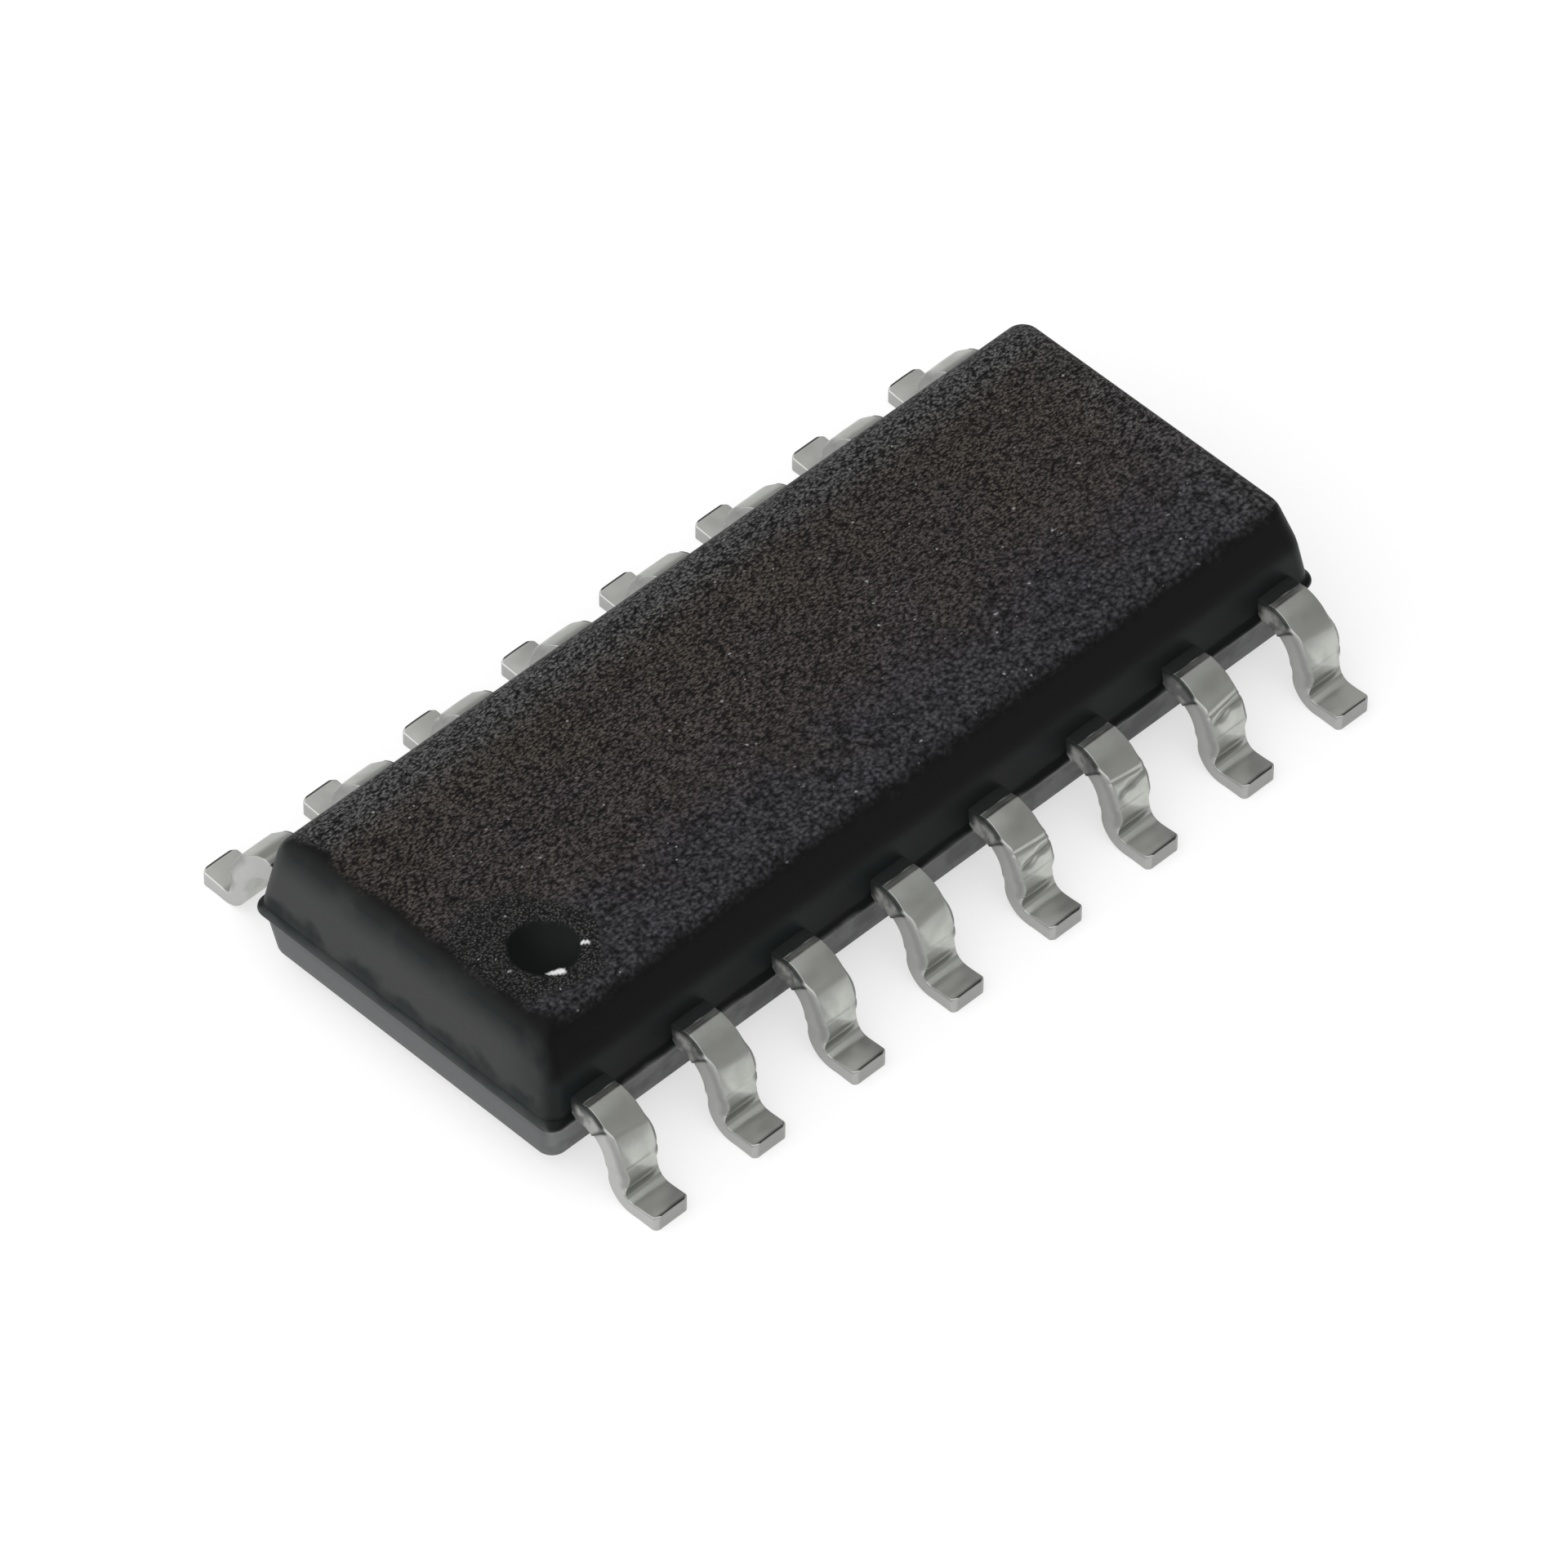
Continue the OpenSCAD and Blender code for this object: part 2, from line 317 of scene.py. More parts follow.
@dataclass(frozen=True)
class MouldFinish:
    """Black moulding compound: grained on the top and smooth on the walls; end walls and lower half painted
    paler for the light on them, plus painted shade, sheen and glints.

    Colours come first, then rates in lumps to a millimetre, then spans in millimetres or levels of a noise.
    """

    parting: float
    bevel_z: float
    bottom_z: float
    gap: Colour = (0.0030, 0.0027, 0.0029, 1.0)
    rose: Colour = (0.081, 0.068, 0.071, 1.0)
    slate: Colour = (0.070, 0.068, 0.077, 1.0)
    brown: Colour = (0.087, 0.073, 0.061, 1.0)
    # rim: painted sheen by the far and end edges of the top, where the rounded edges catch light.
    rim: Colour = (0.120, 0.120, 0.121, 1.0)
    collar: Colour = (0.071, 0.073, 0.069, 1.0)
    # speck: pale specks painted as glints on the grain.
    speck: Colour = (0.22, 0.22, 0.23, 1.0)
    bowl: Colour = (0.0028, 0.0036, 0.0037, 1.0)
    # glint: painted highlight on the rim of the dimple.
    glint: Colour = (0.78, 0.78, 0.78, 1.0)
    bevel: Colour = (0.0040, 0.0040, 0.0040, 1.0)
    wall: Colour = (0.0093, 0.0101, 0.0100, 1.0)
    wall_teal: Colour = (0.0096, 0.0124, 0.0121, 1.0)
    # Painted shade in the crevice above the parting line.
    crevice_shade: Colour = (0.0050, 0.0056, 0.0055, 1.0)
    # end: the end walls painted lighter than the long walls, for the light that falls on them from the
    # bright side.
    end: Colour = (0.034, 0.0345, 0.035, 1.0)
    # end_dark: the end walls darker under the grain's border, with painted shade towards the near corner and
    # along the parting line.
    end_dark: Colour = (0.0075, 0.0105, 0.0105, 1.0)
    # lower, lower_dark, lower_end, lip_end: the lower half painted paler, for the light it takes from the
    # floor.
    lower: Colour = (0.128, 0.133, 0.130, 1.0)
    lower_dark: Colour = (0.072, 0.075, 0.073, 1.0)
    lower_end: Colour = (0.082, 0.084, 0.086, 1.0)
    lip_end: Colour = (0.036, 0.0395, 0.0390, 1.0)
    lump_rate: Triple = (16.0, 19.0, 16.0)
    streak_rate: Triple = (20.0, 38.0, 29.0)
    collar_rate: Triple = (30.0, 36.0, 30.0)
    speck_rate: Triple = (9.0, 11.0, 9.0)
    rough_rate: float = 1.6
    drift_rate: float = 1.1
    front_rate: float = 1.7
    smear_rate: float = 2.3
    rag_rate: float = 2.2
    lower_rate: float = 3.4
    smear_detail: float = 4.0
    cell_middle: float = 0.54
    cell_share: float = 0.5
    noise_share: float = 0.8
    swing: float = 0.33
    collar_gap: float = 0.12
    contrast: float = 2.0
    drift_sway: float = 5.0
    drift_span: Span = (1.4, 3.8)
    front_sway: float = 1.2
    front_span: Span = (-0.6, 0.2)
    # Spans and share of the painted sheen by the far edge and the +X end of the top.
    far_sheen_span: Span = (1.1, 1.55)
    end_sheen_span: Span = (4.0, 4.7)
    end_share: float = 0.5
    speck_span: Span = (0.31, 0.38)
    rag: float = 0.10
    tear: float = 0.5
    teal_span: Span = (0.42, 0.62)
    bevel_span: Span = (-0.10, 0.04)
    crevice_shade_span: Span = (0.17, 0.08)
    darkening_span: Span = (0.25, 0.55)
    darkening_least: float = 0.45
    line_span: Span = (0.29, 0.14)
    fade_span: Span = (0.3, 0.6)
    fade_least: float = 0.6
    lower_span: Span = (0.34, 0.62)
    strip_span: Span = (-0.25, 0.05)
    bottom_span: Span = (0.01, 0.04)
    border_span: Span = (0.08, 0.02)
    side_lift: float = 0.04
    bump_depth: float = 0.02 * MM
    gloss: float = 0.09
    roughness: Span = (0.42, 0.55)

    def lumps(self, graph: Graph, rate: Triple) -> Socket:
        """Soft random lumps about a middle of 0.

        Args:
            graph: Tree of the material.
            rate: Lumps to a millimetre along each axis.

        Returns:
            Height of the lumps.
        """
        stretched = graph.add("ShaderNodeVectorMath", {0: graph.place, 1: rate}, operation="MULTIPLY")
        scaled = stretched.outputs["Vector"]
        cells = graph.add("ShaderNodeTexVoronoi", {"Vector": scaled, "Scale": 1.0}).outputs["Distance"]
        hills = graph.times(graph.maths("SUBTRACT", self.cell_middle, cells), self.cell_share)
        rough = graph.maths("SUBTRACT", graph.noise(self.rough_rate, 1.0, scaled), 0.5)
        return graph.plus(hills, graph.times(rough, self.noise_share))

    def grain(self, graph: Graph) -> tuple[Socket, Socket]:
        """The grain of the top: round lumps, streaks further back and sharp specks in the collar.

        Args:
            graph: Tree of the material.

        Returns:
            Height of the grain, and how light it is.
        """
        round_share = graph.times(self.lumps(graph, self.lump_rate), graph.weight("coarse"))
        streak_share = graph.times(self.lumps(graph, self.streak_rate), graph.weight("fine"))
        soft = graph.plus(round_share, streak_share)
        sharp = self.lumps(graph, self.collar_rate)
        soft_ramp = graph.ramp(soft, -self.swing, self.swing)
        sharp_ramp = graph.ramp(sharp, self.collar_gap - self.swing, self.swing)
        soft_light = graph.maths("POWER", soft_ramp, self.contrast)
        sharp_light = graph.maths("POWER", sharp_ramp, self.contrast)
        collar = graph.weight("collar")
        return graph.mix(collar, soft, sharp), graph.mix(collar, soft_light, sharp_light)

    def top_colour(self, graph: Graph, light: Socket) -> Socket:
        """Colours the grained top and the dimple, with a painted sheen by the far and end edges, pale specks
        painted as glints and a painted highlight on the dimple's rim.

        Args:
            graph: Tree of the material.
            light: How light the grain is.

        Returns:
            The colour.
        """
        axes = graph.add("ShaderNodeSeparateXYZ", {0: graph.place}).outputs
        drift = graph.plus(axes["Y"], graph.times(graph.noise(self.drift_rate), self.drift_sway))
        front = graph.plus(axes["Y"], graph.times(graph.noise(self.front_rate), self.front_sway))
        cool = graph.mix(graph.ramp(front, *self.front_span), self.slate, self.rose)
        warm = graph.mix(graph.ramp(drift, *self.drift_span), cool, self.brown)
        # Painted sheen towards the far edge and the +X end, where the rounded edges catch light.
        end_sheen = graph.ramp(axes["X"], *self.end_sheen_span, 0.0, self.end_share)
        edge = graph.most(graph.ramp(axes["Y"], *self.far_sheen_span), end_sheen)
        pale = graph.mix(graph.weight("collar"), graph.mix(edge, warm, self.rim), self.collar)
        # Pale specks painted as glints on the grain.
        specks = graph.ramp(self.lumps(graph, self.speck_rate), *self.speck_span)
        grained = graph.mix(specks, graph.mix(light, self.gap, pale), self.speck)
        black = graph.mix(graph.weight("bowl"), grained, self.bowl)
        # Painted highlight on the rim of the dimple.
        return graph.mix(graph.weight("glint"), black, self.glint)

    def wall_colour(self, graph: Graph) -> Socket:
        """Colours the walls: painted shade in the crevice at the parting line, end walls painted lighter and
        the lower half painted paler for light.

        Args:
            graph: Tree of the material.

        Returns:
            The colour.
        """
        smears = graph.noise(self.smear_rate, self.smear_detail)
        mottle = graph.noise(self.lower_rate, self.smear_detail)
        up = graph.add("ShaderNodeSeparateXYZ", {0: graph.place}).outputs["Z"]
        ragged = graph.plus(up, graph.times(graph.noise(self.rag_rate), self.rag))
        torn = graph.plus(up, graph.times(smears, self.tear))
        low, low_torn = (self.parting / MM + reach / 2 for reach in (self.rag, self.tear))
        on_end = graph.weight("end")
        band = graph.mix(graph.ramp(smears, *self.teal_span), self.wall, self.wall_teal)
        over = graph.mix(graph.ramp(up, *shifted(self.bevel_span, self.bevel_z / MM)), band, self.bevel)
        # Painted shade in the crevice above the parting line, along the long walls.
        side = graph.mix(graph.ramp(ragged, *shifted(self.crevice_shade_span, low)), over, self.crevice_shade)
        # End walls: darker under the grain's border, and painted shade towards the near corner.
        darkened = graph.ramp(smears, *self.darkening_span, self.darkening_least, 1.0)
        # Painted shade of the crevice along the parting line on the end walls, broken up by noise.
        line = graph.ramp(torn, *shifted(self.line_span, low_torn))
        parting_shade = graph.times(line, graph.ramp(smears, *self.fade_span, 1.0, self.fade_least))
        dark = graph.most(graph.times(graph.weight("end_darkening"), darkened), parting_shade)
        # The end walls are painted lighter than the long walls, for the light that falls on them.
        wall = graph.mix(on_end, side, graph.mix(dark, self.end, self.end_dark))
        # Below the parting line the walls are painted paler, for the light they take from the floor.
        pale = graph.mix(graph.ramp(mottle, *self.lower_span), self.lower_dark, self.lower)
        strip = graph.mix(graph.ramp(ragged, *shifted(self.strip_span, low)), self.lower_end, self.lip_end)
        below = graph.mix(on_end, pale, strip)
        above_bottom = graph.ramp(up, *shifted(self.bottom_span, self.bottom_z / MM))
        under = graph.mix(above_bottom, self.end, below)
        lifted = graph.plus(ragged, graph.ramp(on_end, 0.0, 1.0, self.side_lift, 0.0))
        return graph.mix(graph.ramp(lifted, *shifted(self.border_span, low)), wall, under)

    def material(self) -> bpy.types.Material:
        """Makes the material.

        Returns:
            The material.
        """
        material, graph = new_material("moulding_compound")
        grain = graph.weight("grain")
        height, light = self.grain(graph)
        relief = graph.times(height, graph.maths("SUBTRACT", grain, graph.weight("bowl")))
        graph.surface({
            "Base Color": graph.mix(grain, self.wall_colour(graph), self.top_colour(graph, light)),
            "Roughness": graph.ramp(grain, 0.0, 1.0, *self.roughness),
            "Specular IOR Level": self.gloss,
            "Normal": graph.bump(relief, self.bump_depth),
        })
        return material


@dataclass(frozen=True)
class TinFinish:
    """Matt tin plate: soft smears, a fine skin, duller cut edges and a film of flash by the moulding, with
    painted shade on the shoulder and in dark marks, and the foot painted lighter.
    """

    pale: Colour = (0.530, 0.540, 0.505, 1.0)
    dull: Colour = (0.470, 0.480, 0.448, 1.0)
    # Painted shade on the shoulder.
    shoulder_shade: Colour = (0.390, 0.398, 0.372, 1.0)
    # The foot painted lighter, for the light it catches.
    foot: Colour = (0.560, 0.563, 0.535, 1.0)
    cut: Colour = (0.380, 0.384, 0.374, 1.0)
    # Colour of the resin film by the moulding, and of the painted shade in creases, grooves, nicks and over
    # edges.
    shade: Colour = (0.0160, 0.0183, 0.0181, 1.0)
    flash: Colour = (0.280, 0.282, 0.270, 1.0)
    flash_dark: Colour = (0.120, 0.123, 0.120, 1.0)
    smear_rate: float = 5.0
    skin_rate: float = 25.0
    resin_rate: float = 7.0
    smear_span: Span = (0.35, 0.65)
    resin_span: Span = (0.40, 0.62)
    sheen_span: Span = (0.3, 0.7)
    sheen: Span = (0.40, 0.30)
    matt: float = 0.6
    cut_rough: float = 0.2
    gloss: float = 0.09
    skin_depth: float = 0.0003 * MM

    def material(self) -> bpy.types.Material:
        """Makes the material.

        Returns:
            The material.
        """
        material, graph = new_material("tin_plate")
        smears = graph.noise(self.smear_rate, 4.0)
        resin_noise = graph.noise(self.resin_rate, 3.0)
        cut, film = graph.weight("cut"), graph.weight("flash")
        plain = graph.mix(graph.ramp(smears, *self.smear_span), self.dull, self.pale)
        # Painted shade on the shoulder.
        shoulder = graph.mix(graph.weight("shoulder_shade"), plain, self.shoulder_shade)
        # The foot painted lighter, for the light it catches.
        flat = graph.mix(graph.weight("foot"), shoulder, self.foot)
        resin = graph.mix(graph.ramp(resin_noise, *self.resin_span), self.flash_dark, self.flash)
        edged = graph.mix(film, graph.mix(cut, flat, self.cut), resin)
        rough = graph.ramp(smears, *self.sheen_span, *self.sheen)
        graph.surface({
            # The resin film, and painted shade where the lead is marked dark.
            "Base Color": graph.mix(graph.weight("shade"), edged, self.shade),
            "Metallic": graph.maths("SUBTRACT", 1.0, graph.most(film, graph.times(cut, self.matt))),
            "Specular IOR Level": self.gloss,
            "Roughness": graph.plus(rough, graph.ramp(cut, 0.0, 1.0, 0.0, self.cut_rough)),
            "Normal": graph.bump(graph.noise(self.skin_rate), self.skin_depth),
        })
        return material


@dataclass(frozen=True)
class MetalFinish:
    """A bare or drawn metal with soft smears and a fine skin."""

    name: str
    pale: Colour
    dull: Colour
    sheen: Span = (0.38, 0.24)
    skin_depth: float = 0.0012 * MM
    skin_rate: float = 45.0
    smear_rate: float = 5.0
    smear_span: Span = (0.35, 0.65)
    sheen_span: Span = (0.3, 0.7)

    def material(self) -> bpy.types.Material:
        """Makes the material.

        Returns:
            The material.
        """
        material, graph = new_material(self.name)
        smears = graph.noise(self.smear_rate, 4.0)
        graph.surface({
            "Base Color": graph.mix(graph.ramp(smears, *self.smear_span), self.dull, self.pale),
            "Metallic": 1.0,
            "Roughness": graph.ramp(smears, *self.sheen_span, *self.sheen),
            "Normal": graph.bump(graph.noise(self.skin_rate), self.skin_depth),
        })
        return material


@dataclass(frozen=True)
class MineralFinish:
    """A hard opaque solid, such as polished silicon or filled adhesive, with fine specks."""

    name: str
    ground: Colour
    speck: Colour
    speck_rate: float
    roughness: float
    gloss: float = 0.5
    speck_span: Span = (0.45, 0.62)

    def material(self) -> bpy.types.Material:
        """Makes the material.

        Returns:
            The material.
        """
        material, graph = new_material(self.name)
        specks = graph.ramp(graph.noise(self.speck_rate, 3.0), *self.speck_span)
        graph.surface({
            "Base Color": graph.mix(specks, self.ground, self.speck),
            "Roughness": self.roughness,
            "Specular IOR Level": self.gloss,
        })
        return material


@dataclass
class PackageBody:
    """The moulded body: drafted halves that flare at the parting line, a bevelled side and a dimple."""

    parting: float = 0.73 * MM
    draft: float = math.radians(8.5)
    corner_r: float = 0.16 * MM
    flare_out: float = 0.03 * MM
    flare_h: float = 0.1 * MM
    step_in: float = 0.02 * MM
    step_h: float = 0.06 * MM
    top_r: float = 0.13 * MM
    far_r: float = 0.25 * MM
    bottom_r: float = 0.05 * MM
    bevel_drop: float = 0.44 * MM
    bevel_run: float = 0.18 * MM
    bevel_blend: float = 0.05 * MM
    dimple_d: float = 0.69 * MM
    dimple_depth: float = 0.13 * MM
    dimple_in: Span = (0.94 * MM, 1.06 * MM)
    dimple_lip: float = 0.02 * MM
    collar_r: float = 0.55 * MM
    collar_reach: float = 0.42
    grain_in: float = 0.3 * MM
    grain_r: float = 0.35 * MM
    grain_height: float = 0.004 * MM
    grain_size: float = 0.06 * MM
    grain_span: Span = (-0.09 * MM, 0.11 * MM)
    rag: float = 0.04 * MM
    rag_size: float = 0.13 * MM
    drift: float = 0.08 * MM
    drift_size: float = 0.5 * MM
    streak_span: Span = (-1.5 * MM, 0.9 * MM)
    coarse_most: float = 0.68
    fine_most: float = 1.05
    # Spans of the end walls' darkening: under the grain's border, and painted shade towards the near corner.
    darkening_high: Span = (-0.45 * MM, -0.08 * MM)
    darkening_near: Span = (0.8 * MM, 0.1 * MM)
    # Places of the painted highlight on the dimple's rim: angle and width, then distance and reach.
    near_glint: tuple[Span, Span] = ((-1.95, 0.34), (0.44, 0.10))
    right_glint: tuple[Span, Span] = ((-0.62, 0.06), (0.56, 0.09))
    ledge_shares: tuple[float, ...] = (0.35, 0.65, 0.9, 1.0)
    lip_shares: tuple[float, ...] = (0.16, 0.26, 0.36, 0.48, 0.6, 0.72, 0.86, 1.0)
    grain_rings: int = 5
    along: int = 400
    across: int = 140
    bottom_steps: int = 4
    lower_steps: int = 4
    upper_steps: int = 10
    top_steps: int = 8

    def __post_init__(self) -> None:
        """Takes the overall sizes from the frame."""
        low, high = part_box("package_body")
        self.half_l = (high.x - low.x) / 2 - self.flare_out
        self.half_w = (high.y - low.y) / 2 - self.flare_out
        self.bottom, self.top = low.z, high.z

    def upper_inset(self, z: float) -> float:
        """Returns how far the upper wall stands in at a height."""
        return (z - self.parting) * math.tan(self.draft)

    def lower_inset(self, z: float) -> float:
        """Returns how far the lower wall stands in at a height."""
        return self.step_in + (self.parting - z) * math.tan(self.draft)

    def bevel_at(self, z: float) -> float:
        """How far the bevel leans in, with a soft start.

        Args:
            z: Height.

        Returns:
            The extra inset of the near side.
        """
        rise = z - (self.top - self.bevel_drop)
        soft = self.bevel_blend
        slope = self.bevel_run / self.bevel_drop
        if rise <= -soft:
            return 0.0
        if rise < soft:
            return slope * (rise + soft) ** 2 / (4 * soft)
        return slope * rise

    def back_at(self, z: float) -> float:
        """How much further the far side stands in near the top, where its edge is rounder.

        Args:
            z: Height.

        Returns:
            The extra inset of the far side.
        """
        insets = []
        for r in (self.far_r, self.top_r):
            rise = max(r - (self.top - z), 0.0)
            insets.append(r - math.sqrt(r**2 - rise**2))
        return insets[0] - insets[1]

    def lip(self, share: float) -> float:
        """Share of the flare that is left above the parting line: a square lip, a ledge and a crevice.

        Args:
            share: Height over the parting line, as a share of the flare's height.

        Returns:
            1 at the lip, 0 on the plain wall.
        """
        ledge = float(smooth_step(0.18, 0.6, np.array(share)))
        crevice = float(bump_at(0.72, 0.12, np.array(share)))
        return 1 - ledge - 0.3 * crevice

    def profile(self) -> list[Triple]:
        """Works out the stations of the wall from the bottom face up.

        Returns:
            Height, inset of all sides and extra inset of the bevelled side, station by station.
        """
        rows: list[Triple] = []
        for k in range(self.bottom_steps + 1):
            a = math.pi / 2 * k / self.bottom_steps
            z = self.bottom + self.bottom_r * (1 - math.cos(a))
            rows.append((z, self.lower_inset(z) + self.bottom_r * (1 - math.sin(a)), 0.0))
        ledge = self.parting - self.step_h
        for z in np.linspace(self.bottom + self.bottom_r, ledge, self.lower_steps + 1)[1:]:
            rows.append((z, self.lower_inset(z), 0.0))
        for share in self.ledge_shares:
            z = ledge + self.step_h * share
            out = float(smooth_step(0.0, 1.0, np.array(share)))
            rows.append((z, self.lower_inset(ledge) * (1 - out) - self.flare_out * out, 0.0))
        for share in self.lip_shares:
            z = self.parting + self.flare_h * share
            rows.append((z, self.upper_inset(z) - self.flare_out * self.lip(share), 0.0))
        wall = (self.parting + self.flare_h, self.top - self.top_r)
        for z in np.linspace(*wall, self.upper_steps + 1)[1:]:
            rows.append((z, self.upper_inset(z), self.bevel_at(z)))
        for k in range(1, self.top_steps + 1):
            a = math.pi / 2 * k / self.top_steps
            z = self.top - self.top_r * (1 - math.sin(a))
            rows.append((z, self.upper_inset(z) + self.top_r * (1 - math.cos(a)), self.bevel_at(z)))
        return rows

    def side(self, count: int, half: float, out: float) -> np.ndarray:
        """One side of the outline, from the middle of one round corner to the middle of the next.

        Args:
            count: Number of points, the last corner left out.
            half: Half the length of the side over its corners.
            out: How far out the side lies.

        Returns:
            Rows of place along the side and place outwards.
        """
        r = self.corner_r
        quarter = math.pi / 4 * r
        length = 2 * quarter + 2 * (half - r)
        run = shares(count) * length
        from_end = np.minimum(run, length - run)
        turn = math.pi / 4 - np.minimum(from_end, quarter) / r
        reach = half - r + r * np.sin(turn) - np.maximum(from_end - quarter, 0.0)
        sign = np.where(run < quarter + half - r, -1.0, 1.0)
        return np.stack([sign * reach, out - r + r * np.cos(turn)], axis=1)

    def ring(self, z: float, inset: float, bevel: float) -> np.ndarray:
        """Points round the body at one height.

        Args:
            z: Height.
            inset: How far all four sides stand in.
            bevel: How much further the lead 1 side stands in.

        Returns:
            Rows of x, y, z, from the corner by lead 1 towards +X and round.
        """
        half_x = self.half_l - inset
        far = self.half_w - inset - self.back_at(z)
        near = self.half_w - inset - bevel
        half_y, middle = (far + near) / 2, (far - near) / 2
        front = self.side(self.along, half_x, near) * (1, -1)
        right = self.side(self.across, half_y, half_x)[:, ::-1] + (0, middle)
        back = self.side(self.along, half_x, far) * (-1, 1)
        left = self.side(self.across, half_y, half_x)[:, ::-1] * (-1, -1) + (0, middle)
        flat = np.concatenate([front, right, back, left])
        return np.column_stack([flat, np.full(len(flat), z)])

    def top_sheet(self, rim: np.ndarray) -> np.ndarray:
        """A sheet of points that fills the top inside its rim.

        Args:
            rim: The last ring of the wall.

        Returns:
            Points by place along X and place along Y.
        """
        m, k = self.along, self.across
        near, right = rim[: m + 1], rim[m : m + k + 1]
        far = rim[m + k : 2 * m + k + 1][::-1]
        left = np.concatenate([rim[2 * m + k :], rim[:1]])[::-1]
        u = np.linspace(0, 1, m + 1)[:, None, None]
        v = np.linspace(0, 1, k + 1)[None, :, None]
        edges = (1 - v) * near[:, None] + v * far[:, None] + (1 - u) * left[None] + u * right[None]
        corners = (1 - u) * ((1 - v) * near[0] + v * far[0]) + u * ((1 - v) * near[-1] + v * far[-1])
        return edges - corners

    def from_dimple(self, points: np.ndarray) -> np.ndarray:
        """Returns the place of each point from the middle of the dimple, seen from above."""
        return points[:, :2] - (self.dimple_in[0] - self.half_l, self.dimple_in[1] - self.half_w)

    def bowl_depth(self, away: np.ndarray) -> np.ndarray:
        """The dimple.

        Args:
            away: How far each point lies from the middle of the dimple.

        Returns:
            How deep the dimple is at each point.
        """
        half = self.dimple_d / 2
        ball = (half**2 + self.dimple_depth**2) / (2 * self.dimple_depth)
        cap = np.sqrt(np.maximum(ball**2 - away**2, 0.0)) - (ball - self.dimple_depth)
        lip = self.dimple_lip
        soft = np.where(cap > lip, cap, np.where(cap > -lip, (cap + lip) ** 2 / (4 * lip), 0.0))
        return np.where(away < 2 * half, soft, 0.0)

    def grain_weight(self, points: np.ndarray) -> np.ndarray:
        """Where the top is grained.

        Args:
            points: Rows of x, y, z.

        Returns:
            1 on the grained top, 0 on the smooth walls, with a ragged border.
        """
        ragged = lumps(points, self.rag_size, 3.7) * self.rag
        up = points[:, 2] + ragged
        high = smooth_step(self.top - self.top_r * 1.25, self.top - self.top_r * 0.35, up)
        near = points[:, 1] + self.half_w - self.upper_inset(self.top) - self.bevel_run
        end = points[:, 0] + self.half_l - self.grain_in
        short = np.maximum(self.grain_r - np.stack([near, end]), 0.0)
        inside = self.grain_r - np.linalg.norm(short, axis=0)
        wander = lumps(points * (0.0, 1.0, 0.0), self.drift_size, 1.9)
        drift = self.drift * wander * smooth_step(self.drift_size, 0.0, end)
        return high * smooth_step(*self.grain_span, inside + ragged + drift)

    def end_weight(self, points: np.ndarray) -> np.ndarray:
        """Where the walls are end walls, softly at the corners.

        Args:
            points: Rows of x, y, z.

        Returns:
            1 on the two end walls, 0 on the long walls.
        """
        past_x = np.abs(points[:, 0]) - (self.half_l - self.corner_r)
        past_y = np.abs(points[:, 1]) - (self.half_w - self.corner_r)
        return smooth_step(-0.02 * MM, 0.14 * MM, past_x - np.maximum(past_y, -0.06 * MM))

    def end_darkening_weight(self, points: np.ndarray) -> np.ndarray:
        """Where the end walls are darker: under the border of the grain, and with painted shade towards
        their near corner.

        Args:
            points: Rows of x, y, z.

        Returns:
            1 where they are darkest, 0 where they are plain.
        """
        high = smooth_step(*shifted(self.darkening_high, self.top), points[:, 2])
        near = smooth_step(*shifted(self.darkening_near, -self.half_w), points[:, 1])
        return np.clip(0.85 * high + 0.6 * near, 0.0, 1.0)

    def collar_weight(self, points: np.ndarray) -> np.ndarray:
        """Where the grain is finer, round the dimple and further towards the far end corner.

        Args:
            points: Rows of x, y, z.

        Returns:
            1 by the dimple, 0 away from it, with a ragged border.
        """
        place = self.from_dimple(points)
        away = np.linalg.norm(place, axis=1)
        toward = (place[:, 1] - place[:, 0]) / np.maximum(away, self.dimple_lip)
        ragged = 0.15 * lumps(points, 0.3 * MM, 5.5)
        rim = self.collar_r * (1 + self.collar_reach * np.maximum(toward, 0.0) + ragged)
        return smooth_step(1.08, 0.94, away / rim)

    def glint_weight(self, points: np.ndarray) -> np.ndarray:
        """Where a painted highlight lies on the rim of the dimple, as pale spots.

        Args:
            points: Rows of x, y, z.

        Returns:
            1 on the painted highlight, 0 elsewhere.
        """
        place = self.from_dimple(points) / self.dimple_d
        turn = np.arctan2(place[:, 1], place[:, 0])
        away = np.linalg.norm(place, axis=1)
        near = bump_at(*self.near_glint[0], turn) * bump_at(*self.near_glint[1], away)
        right = 0.85 * bump_at(*self.right_glint[0], turn) * bump_at(*self.right_glint[1], away)
        return smooth_step(0.4, 0.6, near + right + 0.25 * lumps(points, 0.06 * MM, 7.7))

